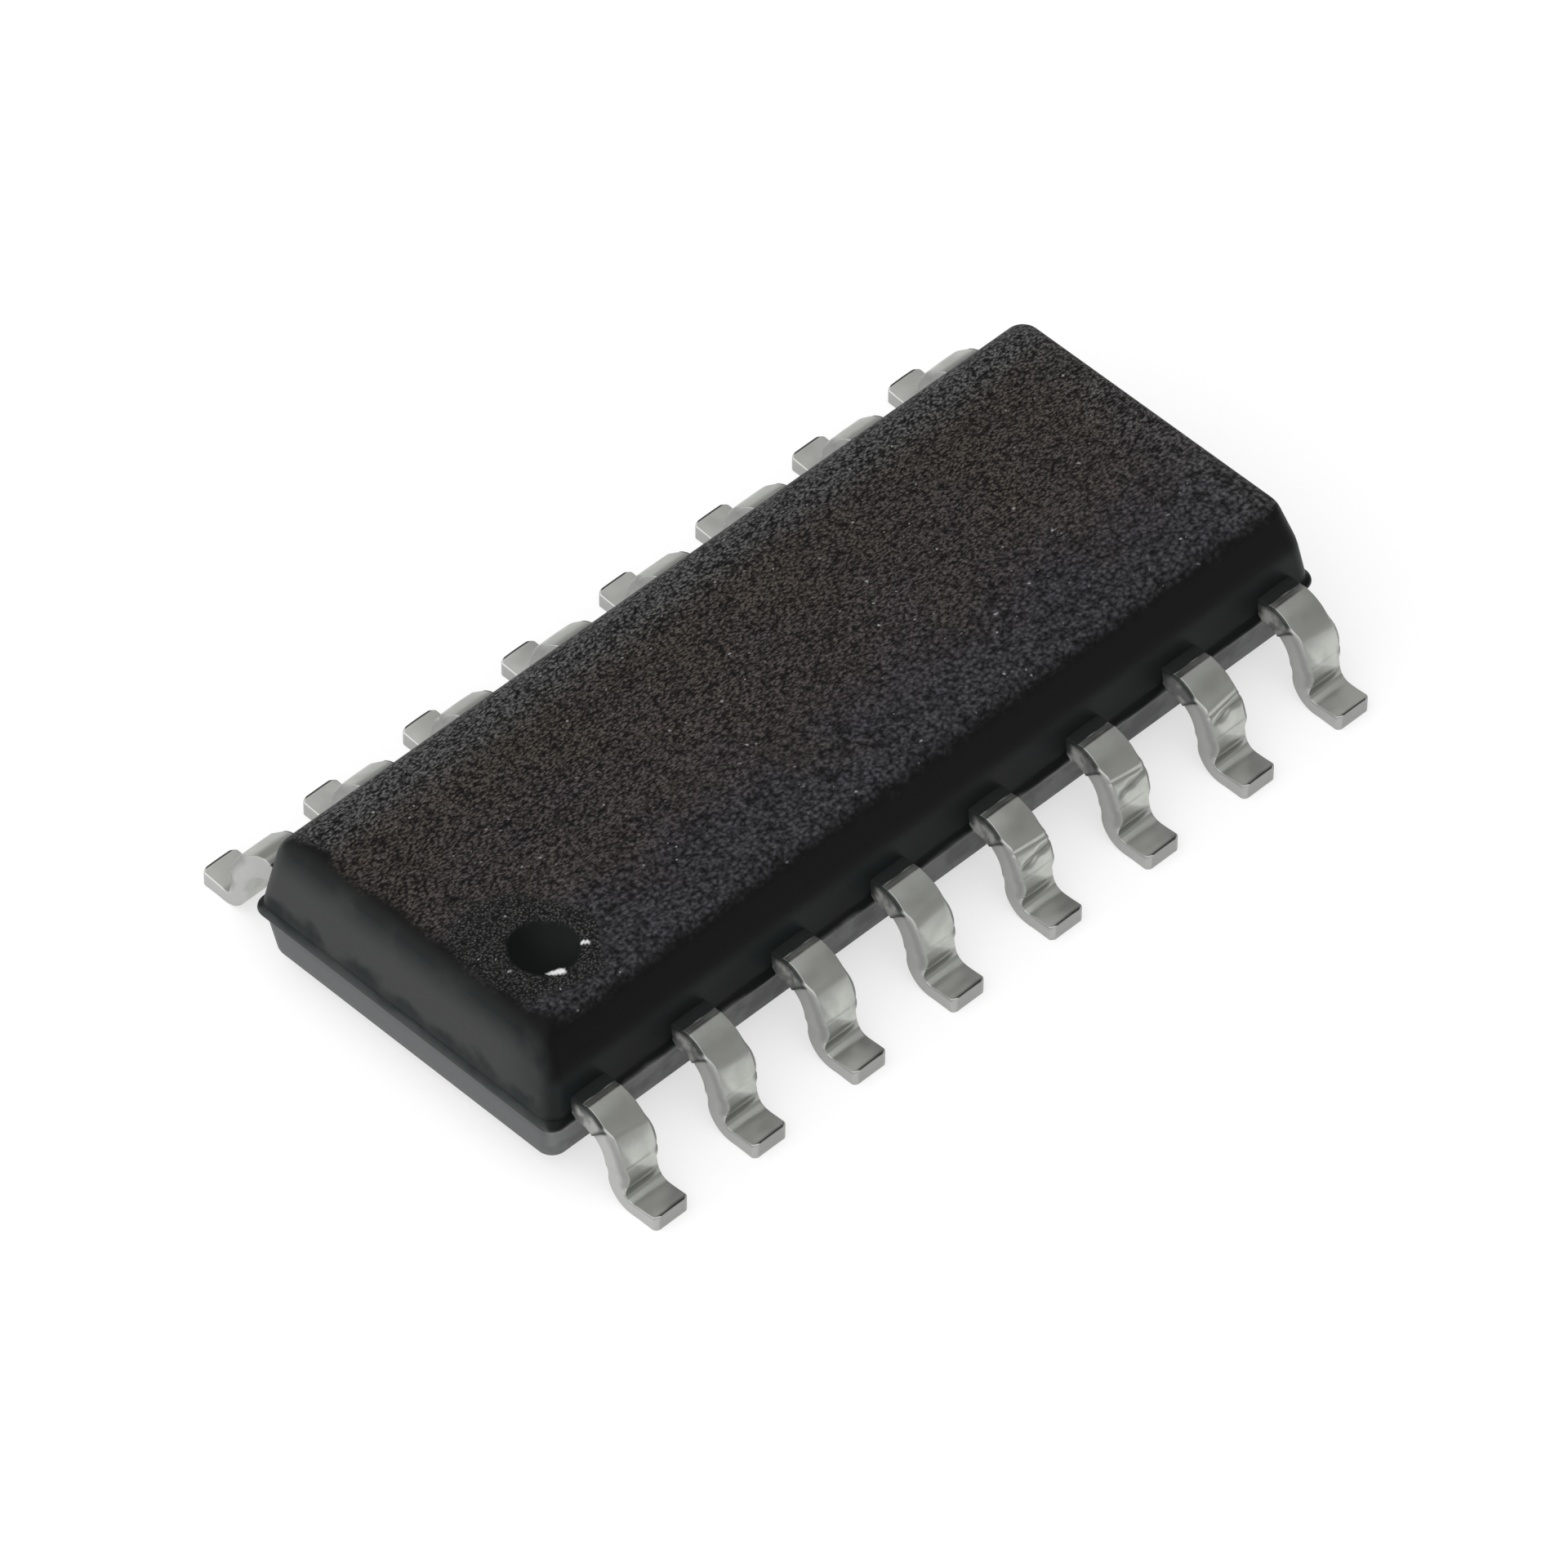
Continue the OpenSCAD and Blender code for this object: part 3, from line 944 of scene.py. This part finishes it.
    def build(self) -> bpy.types.Object:
        """Builds the moulding in place of its node.

        Returns:
            The new piece.
        """
        rings = [self.ring(*row) for row in self.profile()]
        count = len(rings[0])
        inner = self.top_sheet(rings[-1])[1:-1, 1:-1].reshape(-1, 3)
        points = np.concatenate([*rings, inner])
        on_sheet = np.arange(len(points)) >= len(rings) * count
        on_top = np.arange(len(points)) >= (len(rings) - self.grain_rings) * count
        away = np.linalg.norm(self.from_dimple(points), axis=1)
        ragged = away * (1 + 0.08 * lumps(points, 0.07 * MM, 2.2))
        turn = math.pi / 2 * smooth_step(*self.streak_span, points[:, 1])
        weights = {
            "grain": self.grain_weight(points),
            "bowl": on_sheet * smooth_step(self.dimple_d * 0.53, self.dimple_d * 0.47, ragged),
            "coarse": self.coarse_most * np.cos(turn),
            "fine": self.fine_most * np.sin(turn),
            "collar": on_sheet * self.collar_weight(points),
            "glint": on_sheet * self.glint_weight(points),
            "end": self.end_weight(points),
        }
        plain = weights["grain"] * (1 - np.maximum(weights["bowl"], 0.7 * weights["collar"]))
        pebbles = lumps(points * (0.7, 1.0, 1.0), self.grain_size, 0.3)
        points[:, 2] -= np.where(on_sheet, self.bowl_depth(away), 0.0)
        points[:, 2] += np.where(on_top, plain * self.grain_height * (pebbles - 0.9), 0.0)
        weights["end_darkening"] = self.end_darkening_weight(points)
        faces = tube_faces(len(rings), count) + self.bottom_faces() + self.top_faces(len(rings), count)
        piece = mesh_piece("moulded_body", points, faces)
        paint(piece, weights)
        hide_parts("package_body")
        dress(piece, MouldFinish(self.parting, self.top - self.bevel_drop, self.bottom).material())
        return piece

    def bottom_faces(self) -> Faces:
        """Strips across the flat bottom, with one many-cornered face at each end.

        Returns:
            The faces, which share the points of the first ring.
        """
        m, k = self.along, self.across
        far = 2 * m + k
        strips = [(i, far - i, far - i - 1, i + 1) for i in range(1, m - 1)]
        left = (0, *range(2 * (m + k) - 1, far - 2, -1), 1)
        right = (m - 1, *range(m + k + 1, m - 1, -1))
        return [*strips, left, right]

    def top_faces(self, rings: int, count: int) -> Faces:
        """Faces of the sheet that fills the top.

        Args:
            rings: Number of rings in the wall.
            count: Number of points in a ring.

        Returns:
            The faces, which share the points of the last ring.
        """
        m, k = self.along, self.across
        rim = (rings - 1) * count
        index = np.zeros((m + 1, k + 1), int)
        index[1:-1, 1:-1] = rings * count + np.arange((m - 1) * (k - 1)).reshape(m - 1, k - 1)
        index[:, 0] = rim + np.arange(m + 1)
        index[m, :] = rim + m + np.arange(k + 1)
        index[:, k] = rim + 2 * m + k - np.arange(m + 1)
        index[0, :] = rim + (2 * m + 2 * k - np.arange(k + 1)) % count
        return [
            (index[i, j], index[i + 1, j], index[i + 1, j + 1], index[i, j + 1])
            for i in range(m)
            for j in range(k)
        ]


@dataclass
class GullLead:
    """One stamped and bent lead: a finger inside the moulding, a shoulder, a shank and a foot.

    A stage is a place along the strip: 0 to 1 on the shoulder, 1 to 2 on the knee, 2 to 3 on the shank,
    3 to 4 on the ankle and 4 to 5 on the foot.
    """

    number: int
    finish: bpy.types.Material
    width: float = 0.42 * MM
    thick: float = 0.2 * MM
    level: float = 0.73 * MM
    shoulder_r: float = 0.31 * MM
    ankle_r: float = 0.14 * MM
    turn: float = math.radians(80)
    sole: float = 0.28 * MM
    lock_out: float = 1.8 * MM
    lock_l: float = 0.22 * MM
    lock_w: float = 0.65 * MM
    finger_w: float = 0.3 * MM
    edge_r: float = 0.007 * MM
    tip_bevel: float = 0.010 * MM
    tip_r: float = 0.045 * MM
    end_sink: float = 0.004 * MM
    end_share: Triple = (0.86, 1.0, 0.74)
    stub_out: float = 0.045 * MM
    left_stub: float = 0.1
    spread: float = 0.012 * MM
    thinning: float = 0.052 * MM
    lip: float = 0.006 * MM
    brow: float = 0.050 * MM
    roll_w: float = 0.035 * MM
    roll_d: float = 0.035 * MM
    blunt: float = 1.4
    nick_most: float = 0.06 * MM
    nick_at: float = 2.1
    nick_l: float = 0.14
    wall_out: float = 1.9 * MM
    film_out: float = 2.04 * MM
    ridge_out: float = 2.12 * MM
    ridge_w: float = 0.018 * MM
    ridge_h: float = 0.006 * MM
    arch_at: float = math.radians(18)
    arch_w: float = math.radians(16)
    arch_h: float = 0.025 * MM
    wide_at: Window = (1.1, 1.5, 2.1, 2.6)
    heel_at: Window = (2.7, 3.2, 3.5, 4.2)
    stub_at: Window = (1.35, 1.8, 2.15, 2.5)
    roll_at: Window = (1.36, 1.6, 3.1, 3.6)
    roll_shade_at: Window = (1.36, 1.6, 3.0, 3.4)
    tip_roll: float = 0.7
    tip_roll_at: Span = (4.85, 5.0)
    # Strengths of the darker marks: a darker band at the root, then painted shadow and painted shade.
    root_dark: float = 0.40
    tip_shadow: float = 0.9
    nick_shade: float = 0.6
    ankle_shade: float = 0.27
    groove_shade: float = 0.40
    flash_shade: float = 0.9
    roll_shade: float = 0.36
    face_dark: float = 0.12
    foot_edge_shade: float = 0.35
    flash_t: float = 0.018 * MM
    left_side: float = -0.985
    flatness: float = 0.6
    facet_from: float = math.radians(10)
    facet_past: float = 0.1
    crease: float = math.radians(47)
    ridge: float = math.radians(30)
    steps: int = 17
    shoulder_rows: int = 40
    knee_rows: int = 64
    shank_rows: int = 14
    ankle_rows: int = 44
    foot_rows: int = 48
    finger_rows: int = 8

    def __post_init__(self) -> None:
        """Takes this lead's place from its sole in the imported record, and draws its small differences."""
        sole = next(m for m in frame["record"]["mounts"] if m["name"] == f"sole_{self.number}")
        self.x = sole["pos_m"][0]
        self.side = Side.NEAR if sole["pos_m"][1] < 0 else Side.FAR
        self.low, self.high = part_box(f"lead_{self.number}")
        self.tip = max(-self.low.y, self.high.y)
        bends = self.shoulder_r + self.ankle_r + self.thick
        self.shank = (self.level - bends * (1 - math.cos(self.turn))) / math.sin(self.turn)
        self.ankle_out = self.tip - self.sole
        self.knee_out = self.ankle_out - bends * math.sin(self.turn) - self.shank * math.cos(self.turn)
        self.chance = random.Random(self.number)
        self.bow = math.radians(self.vary(0, 2))
        self.tilt = math.radians(self.vary(0, 4))
        self.yaw = self.vary(0.0, 0.012)
        self.crown = self.vary(0.004, 0.003) * MM
        self.groove = self.vary(0.022, 0.004) * MM if self.number in GROOVED else 0.0
        self.groove_at = math.radians(self.vary(62, 5))
        self.nick = self.nick_most * self.vary(0.3 if self.groove else 0.8, 0.2)
        self.dip = self.vary(0.003, 0.002) * MM
        self.wave = self.vary(0, math.pi)
        self.soft = math.radians(2 if self.groove else self.vary(5, 3))

    def vary(self, middle: float, spread: float) -> float:
        """Returns a value near the middle, this lead's own."""
        return middle + spread * (2 * self.chance.random() - 1)

    def path(self) -> np.ndarray:
        """Lays out the underside of the strip from the moulding to the tip.

        Returns:
            Rows of place outwards, height, lean of the strip from level, and stage.
        """
        r, big_r, turn = self.shoulder_r, self.ankle_r + self.thick, self.turn
        rows = []
        for t in shares(self.shoulder_rows):
            rows.append((self.lock_out + (self.knee_out - self.lock_out) * t, self.level, 0.0, t))
        for t in shares(self.knee_rows):
            lean = turn * t
            up = self.level - r + r * math.cos(lean)
            rows.append((self.knee_out + r * math.sin(lean), up, lean, 1 + t))
        start = (self.knee_out + r * math.sin(turn), self.level - r + r * math.cos(turn))
        for t in shares(self.shank_rows):
            run = self.shank * t
            rows.append((start[0] + run * math.cos(turn), start[1] - run * math.sin(turn), turn, 2 + t))
        for t in shares(self.ankle_rows):
            lean = turn * (1 - t)
            up = big_r - big_r * math.cos(lean)
            rows.append((self.ankle_out - big_r * math.sin(lean), up, lean, 3 + t))
        for t in np.arange(self.foot_rows + 1) / self.foot_rows:
            rows.append((self.ankle_out + (self.sole - self.tip_bevel) * t, 0.0, 0.0, 4 + t))
        return np.array(rows)

    def half_width(self, stage: float) -> float:
        """Half the width of the strip, without the stubs of the cut dam bar.

        Args:
            stage: Place along the strip.

        Returns:
            Half the width there.
        """
        wide = stretch(self.wide_at, stage, self.spread)
        heel = stretch(self.heel_at, stage, self.spread)
        past = max(0.0, (stage - 5) * self.sole / self.tip_r + 1)
        return self.width / 2 + wide + heel - self.tip_r * (1 - math.sqrt(1 - min(past, 0.95) ** 2))

    def stub(self, stage: float) -> float:
        """Returns how far the stubs of the cut dam bar stand out at a stage."""
        return stretch(self.stub_at, stage, self.stub_out)

    def roll(self, stage: float) -> float:
        """Returns how far the top edges are rolled over at a stage, from 0 to 1."""
        return stretch(self.roll_at, stage) + self.tip_roll * smooth_step(*self.tip_roll_at, stage)

    def flash_edge(self, rise: np.ndarray) -> np.ndarray:
        """Returns the stage at which the film of flash ends, for heights from 0 to 1."""
        return 1.35 + 0.1 * rise

    def flash(self, stage: np.ndarray | float, share: np.ndarray, rise: np.ndarray) -> np.ndarray:
        """Where flash from the moulding covers the left side of the strip.

        Args:
            stage: Place along the strip.
            share: Places across the strip, from -1 to 1.
            rise: Heights in the strip, from 0 to 1.

        Returns:
            1 under the film, 0 elsewhere.
        """
        edge = self.flash_edge(rise)
        return (share < self.left_side) * smooth_step(edge + 0.03, edge, stage)

    def groove_weight(self, angle: np.ndarray, across: np.ndarray) -> np.ndarray:
        """Where the cut of the dam bar leaves a groove and a scratch on some knees.

        Args:
            angle: Angles on the knee.
            across: Places across the strip, from -1 to 1.

        Returns:
            1 in the middle of the groove, 0 away from it.
        """
        middle = self.groove_at - 0.08 * across + 0.012 * np.sin(5.3 * across + self.wave)
        width = 0.060 + 0.02 * np.sin(7.1 * across - self.wave)
        scratch = 0.5 * bump_at(self.crease + 0.10 + self.tilt * across, 0.03, angle)
        return np.maximum(bump_at(middle, width, angle) * smooth_step(-0.85, -0.45, across), scratch)

    def facet(self, angle: np.ndarray, first: np.ndarray | float, last: np.ndarray | float) -> np.ndarray:
        """Share by which a flat facet lies inside the round that it is cut across.

        Args:
            angle: Angle on the round.
            first: Angle at which the facet starts.
            last: Angle at which it ends.

        Returns:
            0 at the facet's edges and outside it, and under 0 between them.
        """
        half, middle = (last - first) / 2, (last + first) / 2
        inside = np.abs(angle - middle) < half
        return np.where(inside, np.cos(half) / np.cos(angle - middle) - 1, 0.0)

    def swell(self, stage: float, across: np.ndarray) -> np.ndarray:
        """How far the top of the strip stands out from a plain bent strip.

        Args:
            stage: Place along the strip.
            across: Places across the strip, from -1 to 1.

        Returns:
            The height gained at each place.
        """
        outer, inner = self.shoulder_r + self.thick, self.ankle_r + self.thinning * 0.6
        angle = (stage - 1) * self.turn + np.zeros_like(across)
        bend = (4 - stage) * self.turn + np.zeros_like(across)
        crease = self.crease + self.bow * (1 - across**2) + self.tilt * across
        first, last = self.facet_from, self.turn + self.facet_past
        near = [angle + self.soft * k / 3 for k in range(-3, 4)]
        flat = sum(self.facet(a, first, crease) + self.facet(a, crease, last) for a in near) / len(near)
        out = self.lock_out + (self.knee_out - self.lock_out) * min(stage, 1.0)
        out = out + outer * np.sin(np.maximum(angle, 0))
        gain = outer * self.flatness * flat + self.brow * smooth_step(3.6, 2.9, stage)
        gain = gain - self.groove * self.groove_weight(angle, across)
        gain = gain + self.ridge_h * (bump_at(self.ridge_out, self.ridge_w, out) + (out < self.film_out))
        gain = gain + self.arch_h * bump_at(self.arch_at, self.arch_w, angle)
        gain = gain - self.nick * bump_at(self.nick_at, self.nick_l, stage) * smooth_step(0.5, 1.0, across)
        gain = gain - self.thinning * smooth_step(2.7, 3.7, stage)
        gain = gain - inner * self.facet(bend, self.ridge, self.turn) * (stage > 2.8)
        gain = gain + self.ridge_h * bump_at(self.ridge, 0.05, bend) * (stage > 3)
        gain = gain - self.dip * bump_at(4.4, 0.4, stage)
        gain = gain + 0.4 * self.thinning * np.clip((stage - 3.9) / 1.1, 0.0, 1.0)
        gain = gain + self.lip * bump_at(5.0, 0.07, stage)
        return gain - self.crown * across**2

    def section(self, half: float, roll: float = 0.0) -> np.ndarray:
        """Outline of the strip with blunt edges.

        Args:
            half: Half the width of the strip.
            roll: How far the top edges are rolled over, from 0 to 1.

        Returns:
            Rows of place across and height above the underside, clockwise from the middle of the top.
        """
        r, t = self.edge_r, self.thick
        wide, deep = r + roll * self.roll_w, r + roll * self.roll_d
        flat, count = half - wide, self.steps // 2
        right = [(flat * k / count, t) for k in range(count)] + [(flat * 0.97, t)]
        for a in np.linspace(0, math.pi / 2, 5):
            over, under = math.sin(a) ** self.blunt, 1 - abs(math.cos(a)) ** self.blunt
            right.append((flat + wide * over, t - deep * under))
        right += [(half, r + (t - deep - r) * k / 4) for k in (3, 2, 1)]
        for a in (0.0, math.pi / 4, math.pi / 2):
            right.append((half - r + r * math.cos(a), r - r * math.sin(a)))
        right.append((half / 2, 0.0))
        left = [(-a, b) for a, b in right[:0:-1]]
        return np.array([*right, (0.0, 0.0), *left])

    def outer_loops(self) -> list[np.ndarray]:
        """The bent strip outside the moulding and its cut end.

        Returns:
            Loops of place across, place outwards and height.
        """
        loops = []
        for out, up, lean, stage in self.path():
            half = self.half_width(stage)
            outline = self.section(half, self.roll(stage))
            share, rise = outline[:, 0] / half, outline[:, 1] / self.thick
            height = outline[:, 1] + np.clip(rise, 0, 1) ** 2 * self.swell(stage, share)
            film = self.flash_t * self.flash(stage, share, rise)
            stub = self.stub(stage) * np.where(share > 0, 1.0, self.left_stub)
            ears = stub * np.sign(share) * np.abs(share) ** 3
            sway = self.yaw * (out - self.lock_out)
            loops.append(np.column_stack([
                outline[:, 0] + ears + sway - film,
                out + math.sin(lean) * height,
                up + math.cos(lean) * height,
            ]))
        end = loops[-1].copy()
        middle = end.mean(axis=0)
        end[:, 1] = self.tip
        for axis in (0, 2):
            reach = end[:, axis] - middle[axis]
            end[:, axis] -= np.sign(reach) * np.minimum(np.abs(reach), self.tip_bevel)
        face = middle + (end - middle) * self.end_share
        face[:, 1] = self.tip - self.end_sink
        return [*loops, end, face]

    def finger_loops(self) -> list[np.ndarray]:
        """The flat finger inside the moulding, from its tip out to the locking tab.

        Returns:
            Loops of place across, place outwards and height.
        """
        outline = self.section(self.width / 2)
        side = self.side.value
        x = -side * self.x
        ends = sorted((-side * self.low.x, -side * self.high.x))
        inner = min(side * self.low.y, side * self.high.y)
        half = self.finger_w / 2
        reach = ends[0] if x > 0 else ends[1]
        if self.number % LEADS_PER_SIDE in (0, 1):
            tip, spread = (reach, inner + half), (0.0, -math.copysign(half, x))
        else:
            tip, spread = (reach + math.copysign(half, x), inner), (half, 0.0)
        share = outline[:, 0] / (self.width / 2)
        height = self.level + outline[:, 1]
        root = self.lock_out - self.lock_l
        loops = []
        for t in np.linspace(1, 0, self.finger_rows):
            place_x = (tip[0] - x) * t + share * (self.width / 2 * (1 - t) + spread[0] * t)
            place_y = root * (1 - t) + tip[1] * t + share * spread[1] * t
            loops.append(np.column_stack([place_x, place_y, height]))
        for out in (root, self.lock_out):
            loops.append(np.column_stack([share * self.lock_w / 2, np.full(len(share), out), height]))
        return loops

    def build(self) -> bpy.types.Object:
        """Builds the lead in place of its node.

        Returns:
            The new piece.
        """
        loops = self.finger_loops() + self.outer_loops()
        count, total = len(loops[0]), len(loops)
        points = np.concatenate(loops)
        faces = tube_faces(total, count, turned=True)
        faces.append(tuple(range(count)))
        faces.append(tuple(range(total * count - 1, (total - 1) * count - 1, -1)))
        piece = mesh_piece(f"plated_lead_{self.number}", self.placed(points), faces)
        for face in piece.data.polygons[-count - 2:]:
            face.use_smooth = False
        paint(piece, self.weights(points, total))
        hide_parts(f"lead_{self.number}")
        dress(piece, self.finish)
        return piece

    def marks(self, total: int) -> np.ndarray:
        """Where each point lies on the strip.

        Args:
            total: Number of loops in the lead.

        Returns:
            Rows of stage, place across the strip from -1 to 1, and height in it from 0 to 1.
        """
        stages = self.path()[:, 3]
        rows = []
        for stage in [*np.zeros(total - len(stages) - 2), *stages, *stages[-1:].repeat(2)]:
            half = self.half_width(stage)
            outline = self.section(half, self.roll(stage))
            rows.append(np.column_stack([np.full(len(outline), stage), outline / (half, self.thick)]))
        return np.concatenate(rows)

    def weights(self, points: np.ndarray, total: int) -> dict[str, np.ndarray]:
        """Where the lead is cut or covered by flash, where shade is painted on it, and where its foot is
        painted lighter.

        Args:
            points: Its points, as its own loops give them.
            total: Number of loops in the lead.

        Returns:
            One number for each point, by name.
        """
        stage, share, rise = self.marks(total).T
        out = points[:, 1]
        on_top, on_left, rounded = rise > 0.99, share < self.left_side, rise < 0.9995
        outside = out > self.wall_out
        at_end = out > self.tip - 2 * self.end_sink
        on_face = np.abs(out - self.tip + self.end_sink) < 1e-7
        side_film = outside * self.flash(stage, share, rise)
        border = self.film_out + 0.004 * MM * np.sin(5.3 * share + self.wave)
        film = smooth_step(border + 0.012 * MM, border, out) * (rise > 0.97)
        root = on_top * smooth_step(self.ridge_out - 0.01 * MM, self.ridge_out - 0.05 * MM, out)
        # Painted shadow under the tip's top edge.
        tip = on_top * smooth_step(4.94, 4.96, stage) * (1 - at_end)
        # Painted shade in the nick.
        notch = self.nick_shade * on_top * bump_at(self.nick_at, self.nick_l, stage)
        notch = notch * smooth_step(0.6, 0.95, share) * self.nick / self.nick_most
        # Painted shade on the ankle, standing in for its dark reflection.
        start = 2.27 + 0.83 * share
        ankle = on_top * stretch((start, start + 0.2, 3.5, 3.75), stage, self.ankle_shade)
        # Painted shade in the grooves.
        groove = on_top * self.groove_weight((stage - 1) * self.turn, share) * (self.groove > 0)
        # Painted shadow lines round the flash, and painted shade over the edge near the root and where the
        # flash meets the moulding.
        edge = self.flash_shade * on_left * bump_at(self.flash_edge(rise), 0.035, stage)
        corner = (share < -0.95) * smooth_step(0.8, 0.95, rise) * rounded
        under = self.flash_shade * (corner * smooth_step(1.42, 1.36, stage)) * outside
        pocket_shade = self.flash_shade * side_film * smooth_step(2.03 * MM, 1.95 * MM, out)
        pocket_shade = pocket_shade * smooth_step(0.1, 0.6, rise)
        # Painted shade over the highlight of the rolled edges; the end face darker inside its rim.
        rolled = self.roll_shade * smooth_step(0.7, 0.85, rise) * (rise < 0.995)
        rolled = stretch(self.roll_shade_at, stage, rolled) + self.face_dark * on_face
        # Painted shade over the highlight on the foot's left edge.
        foot_edge = self.foot_edge_shade * (share < -0.9) * (rise > 0.9) * rounded
        foot_edge = foot_edge * smooth_step(3.4, 3.6, stage) * (1 - at_end)
        dark = film + self.root_dark * root + self.tip_shadow * tip + notch + ankle + self.groove_shade * groove
        dark = dark + edge + under + pocket_shade + rolled + foot_edge
        return {
            "cut": np.where(at_end, 1.0, smooth_step(0.995, 0.95, rise) * (rise > 0.02)),
            # Painted shade on the shoulder.
            "shoulder_shade": smooth_step(1.75, 1.35, stage),
            # The foot painted lighter, for the light it catches.
            "foot": smooth_step(3.8, 4.2, stage),
            "flash": np.maximum(side_film, film),
            "shade": np.clip(dark, 0.0, 1.0),
        }

    def placed(self, points: np.ndarray) -> np.ndarray:
        """Returns the points moved from the lead's own place to the package's frame."""
        side = self.side.value
        return np.column_stack([self.x - side * points[:, 0], side * points[:, 1], points[:, 2]])


@dataclass
class InnerParts:
    """What the moulding hides: the paddle, the adhesive, the die and the wires, which keep their solids."""

    copper: MetalFinish = MetalFinish("bare_copper", (0.72, 0.40, 0.24, 1), (0.50, 0.26, 0.15, 1))
    gold: MetalFinish = MetalFinish(
        "drawn_gold", (0.95, 0.68, 0.28, 1), (0.80, 0.52, 0.18, 1), (0.22, 0.12)
    )
    adhesive: MineralFinish = MineralFinish("silver_adhesive", grey(0.42), grey(0.62, 0.03), 60.0, 0.55)
    silicon: MineralFinish = MineralFinish(
        "polished_silicon", (0.045, 0.055, 0.075, 1), (0.09, 0.10, 0.13, 1), 9.0, 0.12, 0.8
    )

    def dress(self) -> list[bpy.types.Object]:
        """Dresses the hidden nodes.

        Returns:
            The dressed objects.
        """
        nodes = frame["nodes"]
        wires = [f"bond_wire_{i}" for i in range(1, 2 * LEADS_PER_SIDE + 1)]
        plan = [
            (self.copper, Slot.COPPER, ["die_paddle"]),
            (self.adhesive, Slot.ADHESIVE, ["die_attach"]),
            (self.silicon, Slot.SILICON, ["die"]),
            (self.gold, Slot.GOLD, wires),
        ]
        dressed = []
        for finish, slot, names in plan:
            material = finish.material()
            for name in names:
                dress(nodes[name], material)
                dressed.append(nodes[name])
        return dressed


@dataclass
class Studio:
    """A pale floor, a soft sky that is bright on one side, and the camera."""

    floor_size: float = 1.2
    floor_colour: Colour = (0.95, 0.95, 0.95, 1.0)
    floor_rough: float = 0.9
    floor_glow: float = 0.62
    sky_bright: float = 1.75
    sky_dim: float = 0.42
    sky_span: Span = (0.1, 0.6)
    bright_way: Triple = (-0.80, 0.05, 0.60)
    azimuth: float = math.radians(-45.035)
    elevation: float = math.radians(47.098)
    roll: float = math.radians(0.56)
    distance: float = 140.73 * MM
    aim: Triple = (0.0186 * MM, 0.0889 * MM, 0.0706 * MM)
    lens: float = 348.6
    sensor: float = 36.0
    clip: Span = (1 * MM, 10.0)

    def build(self) -> None:
        """Builds the floor, the sky and the camera."""
        self.lay_floor()
        self.light()
        self.place_camera()
        bpy.context.scene.view_settings.view_transform = "Standard"

    def lay_floor(self) -> None:
        """Lays the floor at the height of the soles."""
        half = self.floor_size / 2
        mesh = bpy.data.meshes.new("floor")
        corners = [(-half, -half, 0), (half, -half, 0), (half, half, 0), (-half, half, 0)]
        mesh.from_pydata(corners, [], [(0, 1, 2, 3)])
        floor = bpy.data.objects.new("floor", mesh)
        bpy.context.scene.collection.objects.link(floor)
        material, graph = new_material("pale_floor")
        paper = graph.add("ShaderNodeBsdfPrincipled", {
            "Base Color": self.floor_colour,
            "Roughness": self.floor_rough,
            "Specular IOR Level": 0.0,
        })
        white = graph.add("ShaderNodeEmission", {"Color": grey(1.0), "Strength": 1.0})
        rays = graph.add("ShaderNodeLightPath").outputs
        seen = graph.most(rays["Is Camera Ray"], rays["Is Glossy Ray"])
        seen = graph.most(seen, rays["Is Transmission Ray"])
        mixed = graph.add("ShaderNodeMixShader", {
            0: graph.times(seen, self.floor_glow),
            1: paper.outputs["BSDF"],
            2: white.outputs["Emission"],
        })
        graph.add("ShaderNodeOutputMaterial", {"Surface": mixed.outputs["Shader"]})
        dress(floor, material)

    def light(self) -> None:
        """Lights the part with a sky that is bright on one side and dim on the other."""
        world = bpy.data.worlds.new("soft_sky")
        bpy.context.scene.world = world
        world.use_nodes = True
        graph = Graph(world.node_tree)
        way = graph.add("ShaderNodeTexCoord").outputs["Generated"]
        toward = Vector(self.bright_way).normalized()
        facing = graph.add("ShaderNodeVectorMath", {0: way, 1: toward}, operation="DOT_PRODUCT")
        strength = graph.ramp(facing.outputs["Value"], *self.sky_span, self.sky_dim, self.sky_bright)
        sky = graph.add("ShaderNodeBackground", {"Color": grey(1.0), "Strength": strength})
        graph.add("ShaderNodeOutputWorld", {"Surface": sky.outputs["Background"]})

    def place_camera(self) -> None:
        """Places the camera where it sees the part from the photograph's angle."""
        data = bpy.data.cameras.new("camera")
        camera = bpy.data.objects.new("camera", data)
        bpy.context.scene.collection.objects.link(camera)
        a, e = self.azimuth, self.elevation
        back = Vector((math.sin(a) * math.cos(e), -math.cos(a) * math.cos(e), math.sin(e)))
        camera.location = Vector(self.aim) + back * self.distance
        camera.rotation_mode = "QUATERNION"
        level = (-back).to_track_quat("-Z", "Y")
        camera.rotation_quaternion = level @ Quaternion((0, 0, 1), self.roll)
        data.lens, data.sensor_width = self.lens, self.sensor
        data.clip_start, data.clip_end = self.clip
        bpy.context.scene.camera = camera


def main() -> None:
    """Builds the part and its studio, and reports each piece."""
    logging.basicConfig(level=logging.INFO, format="%(name)s: %(message)s")
    pieces = [PackageBody().build()]
    tin = TinFinish().material()
    for number in range(1, 2 * LEADS_PER_SIDE + 1):
        pieces.append(GullLead(number, tin).build())
    pieces += InnerParts().dress()
    Studio().build()
    for piece in pieces:
        LOG.info("%s: %d faces", piece.name, len(piece.data.polygons))


if __name__ == "__main__":
    main()
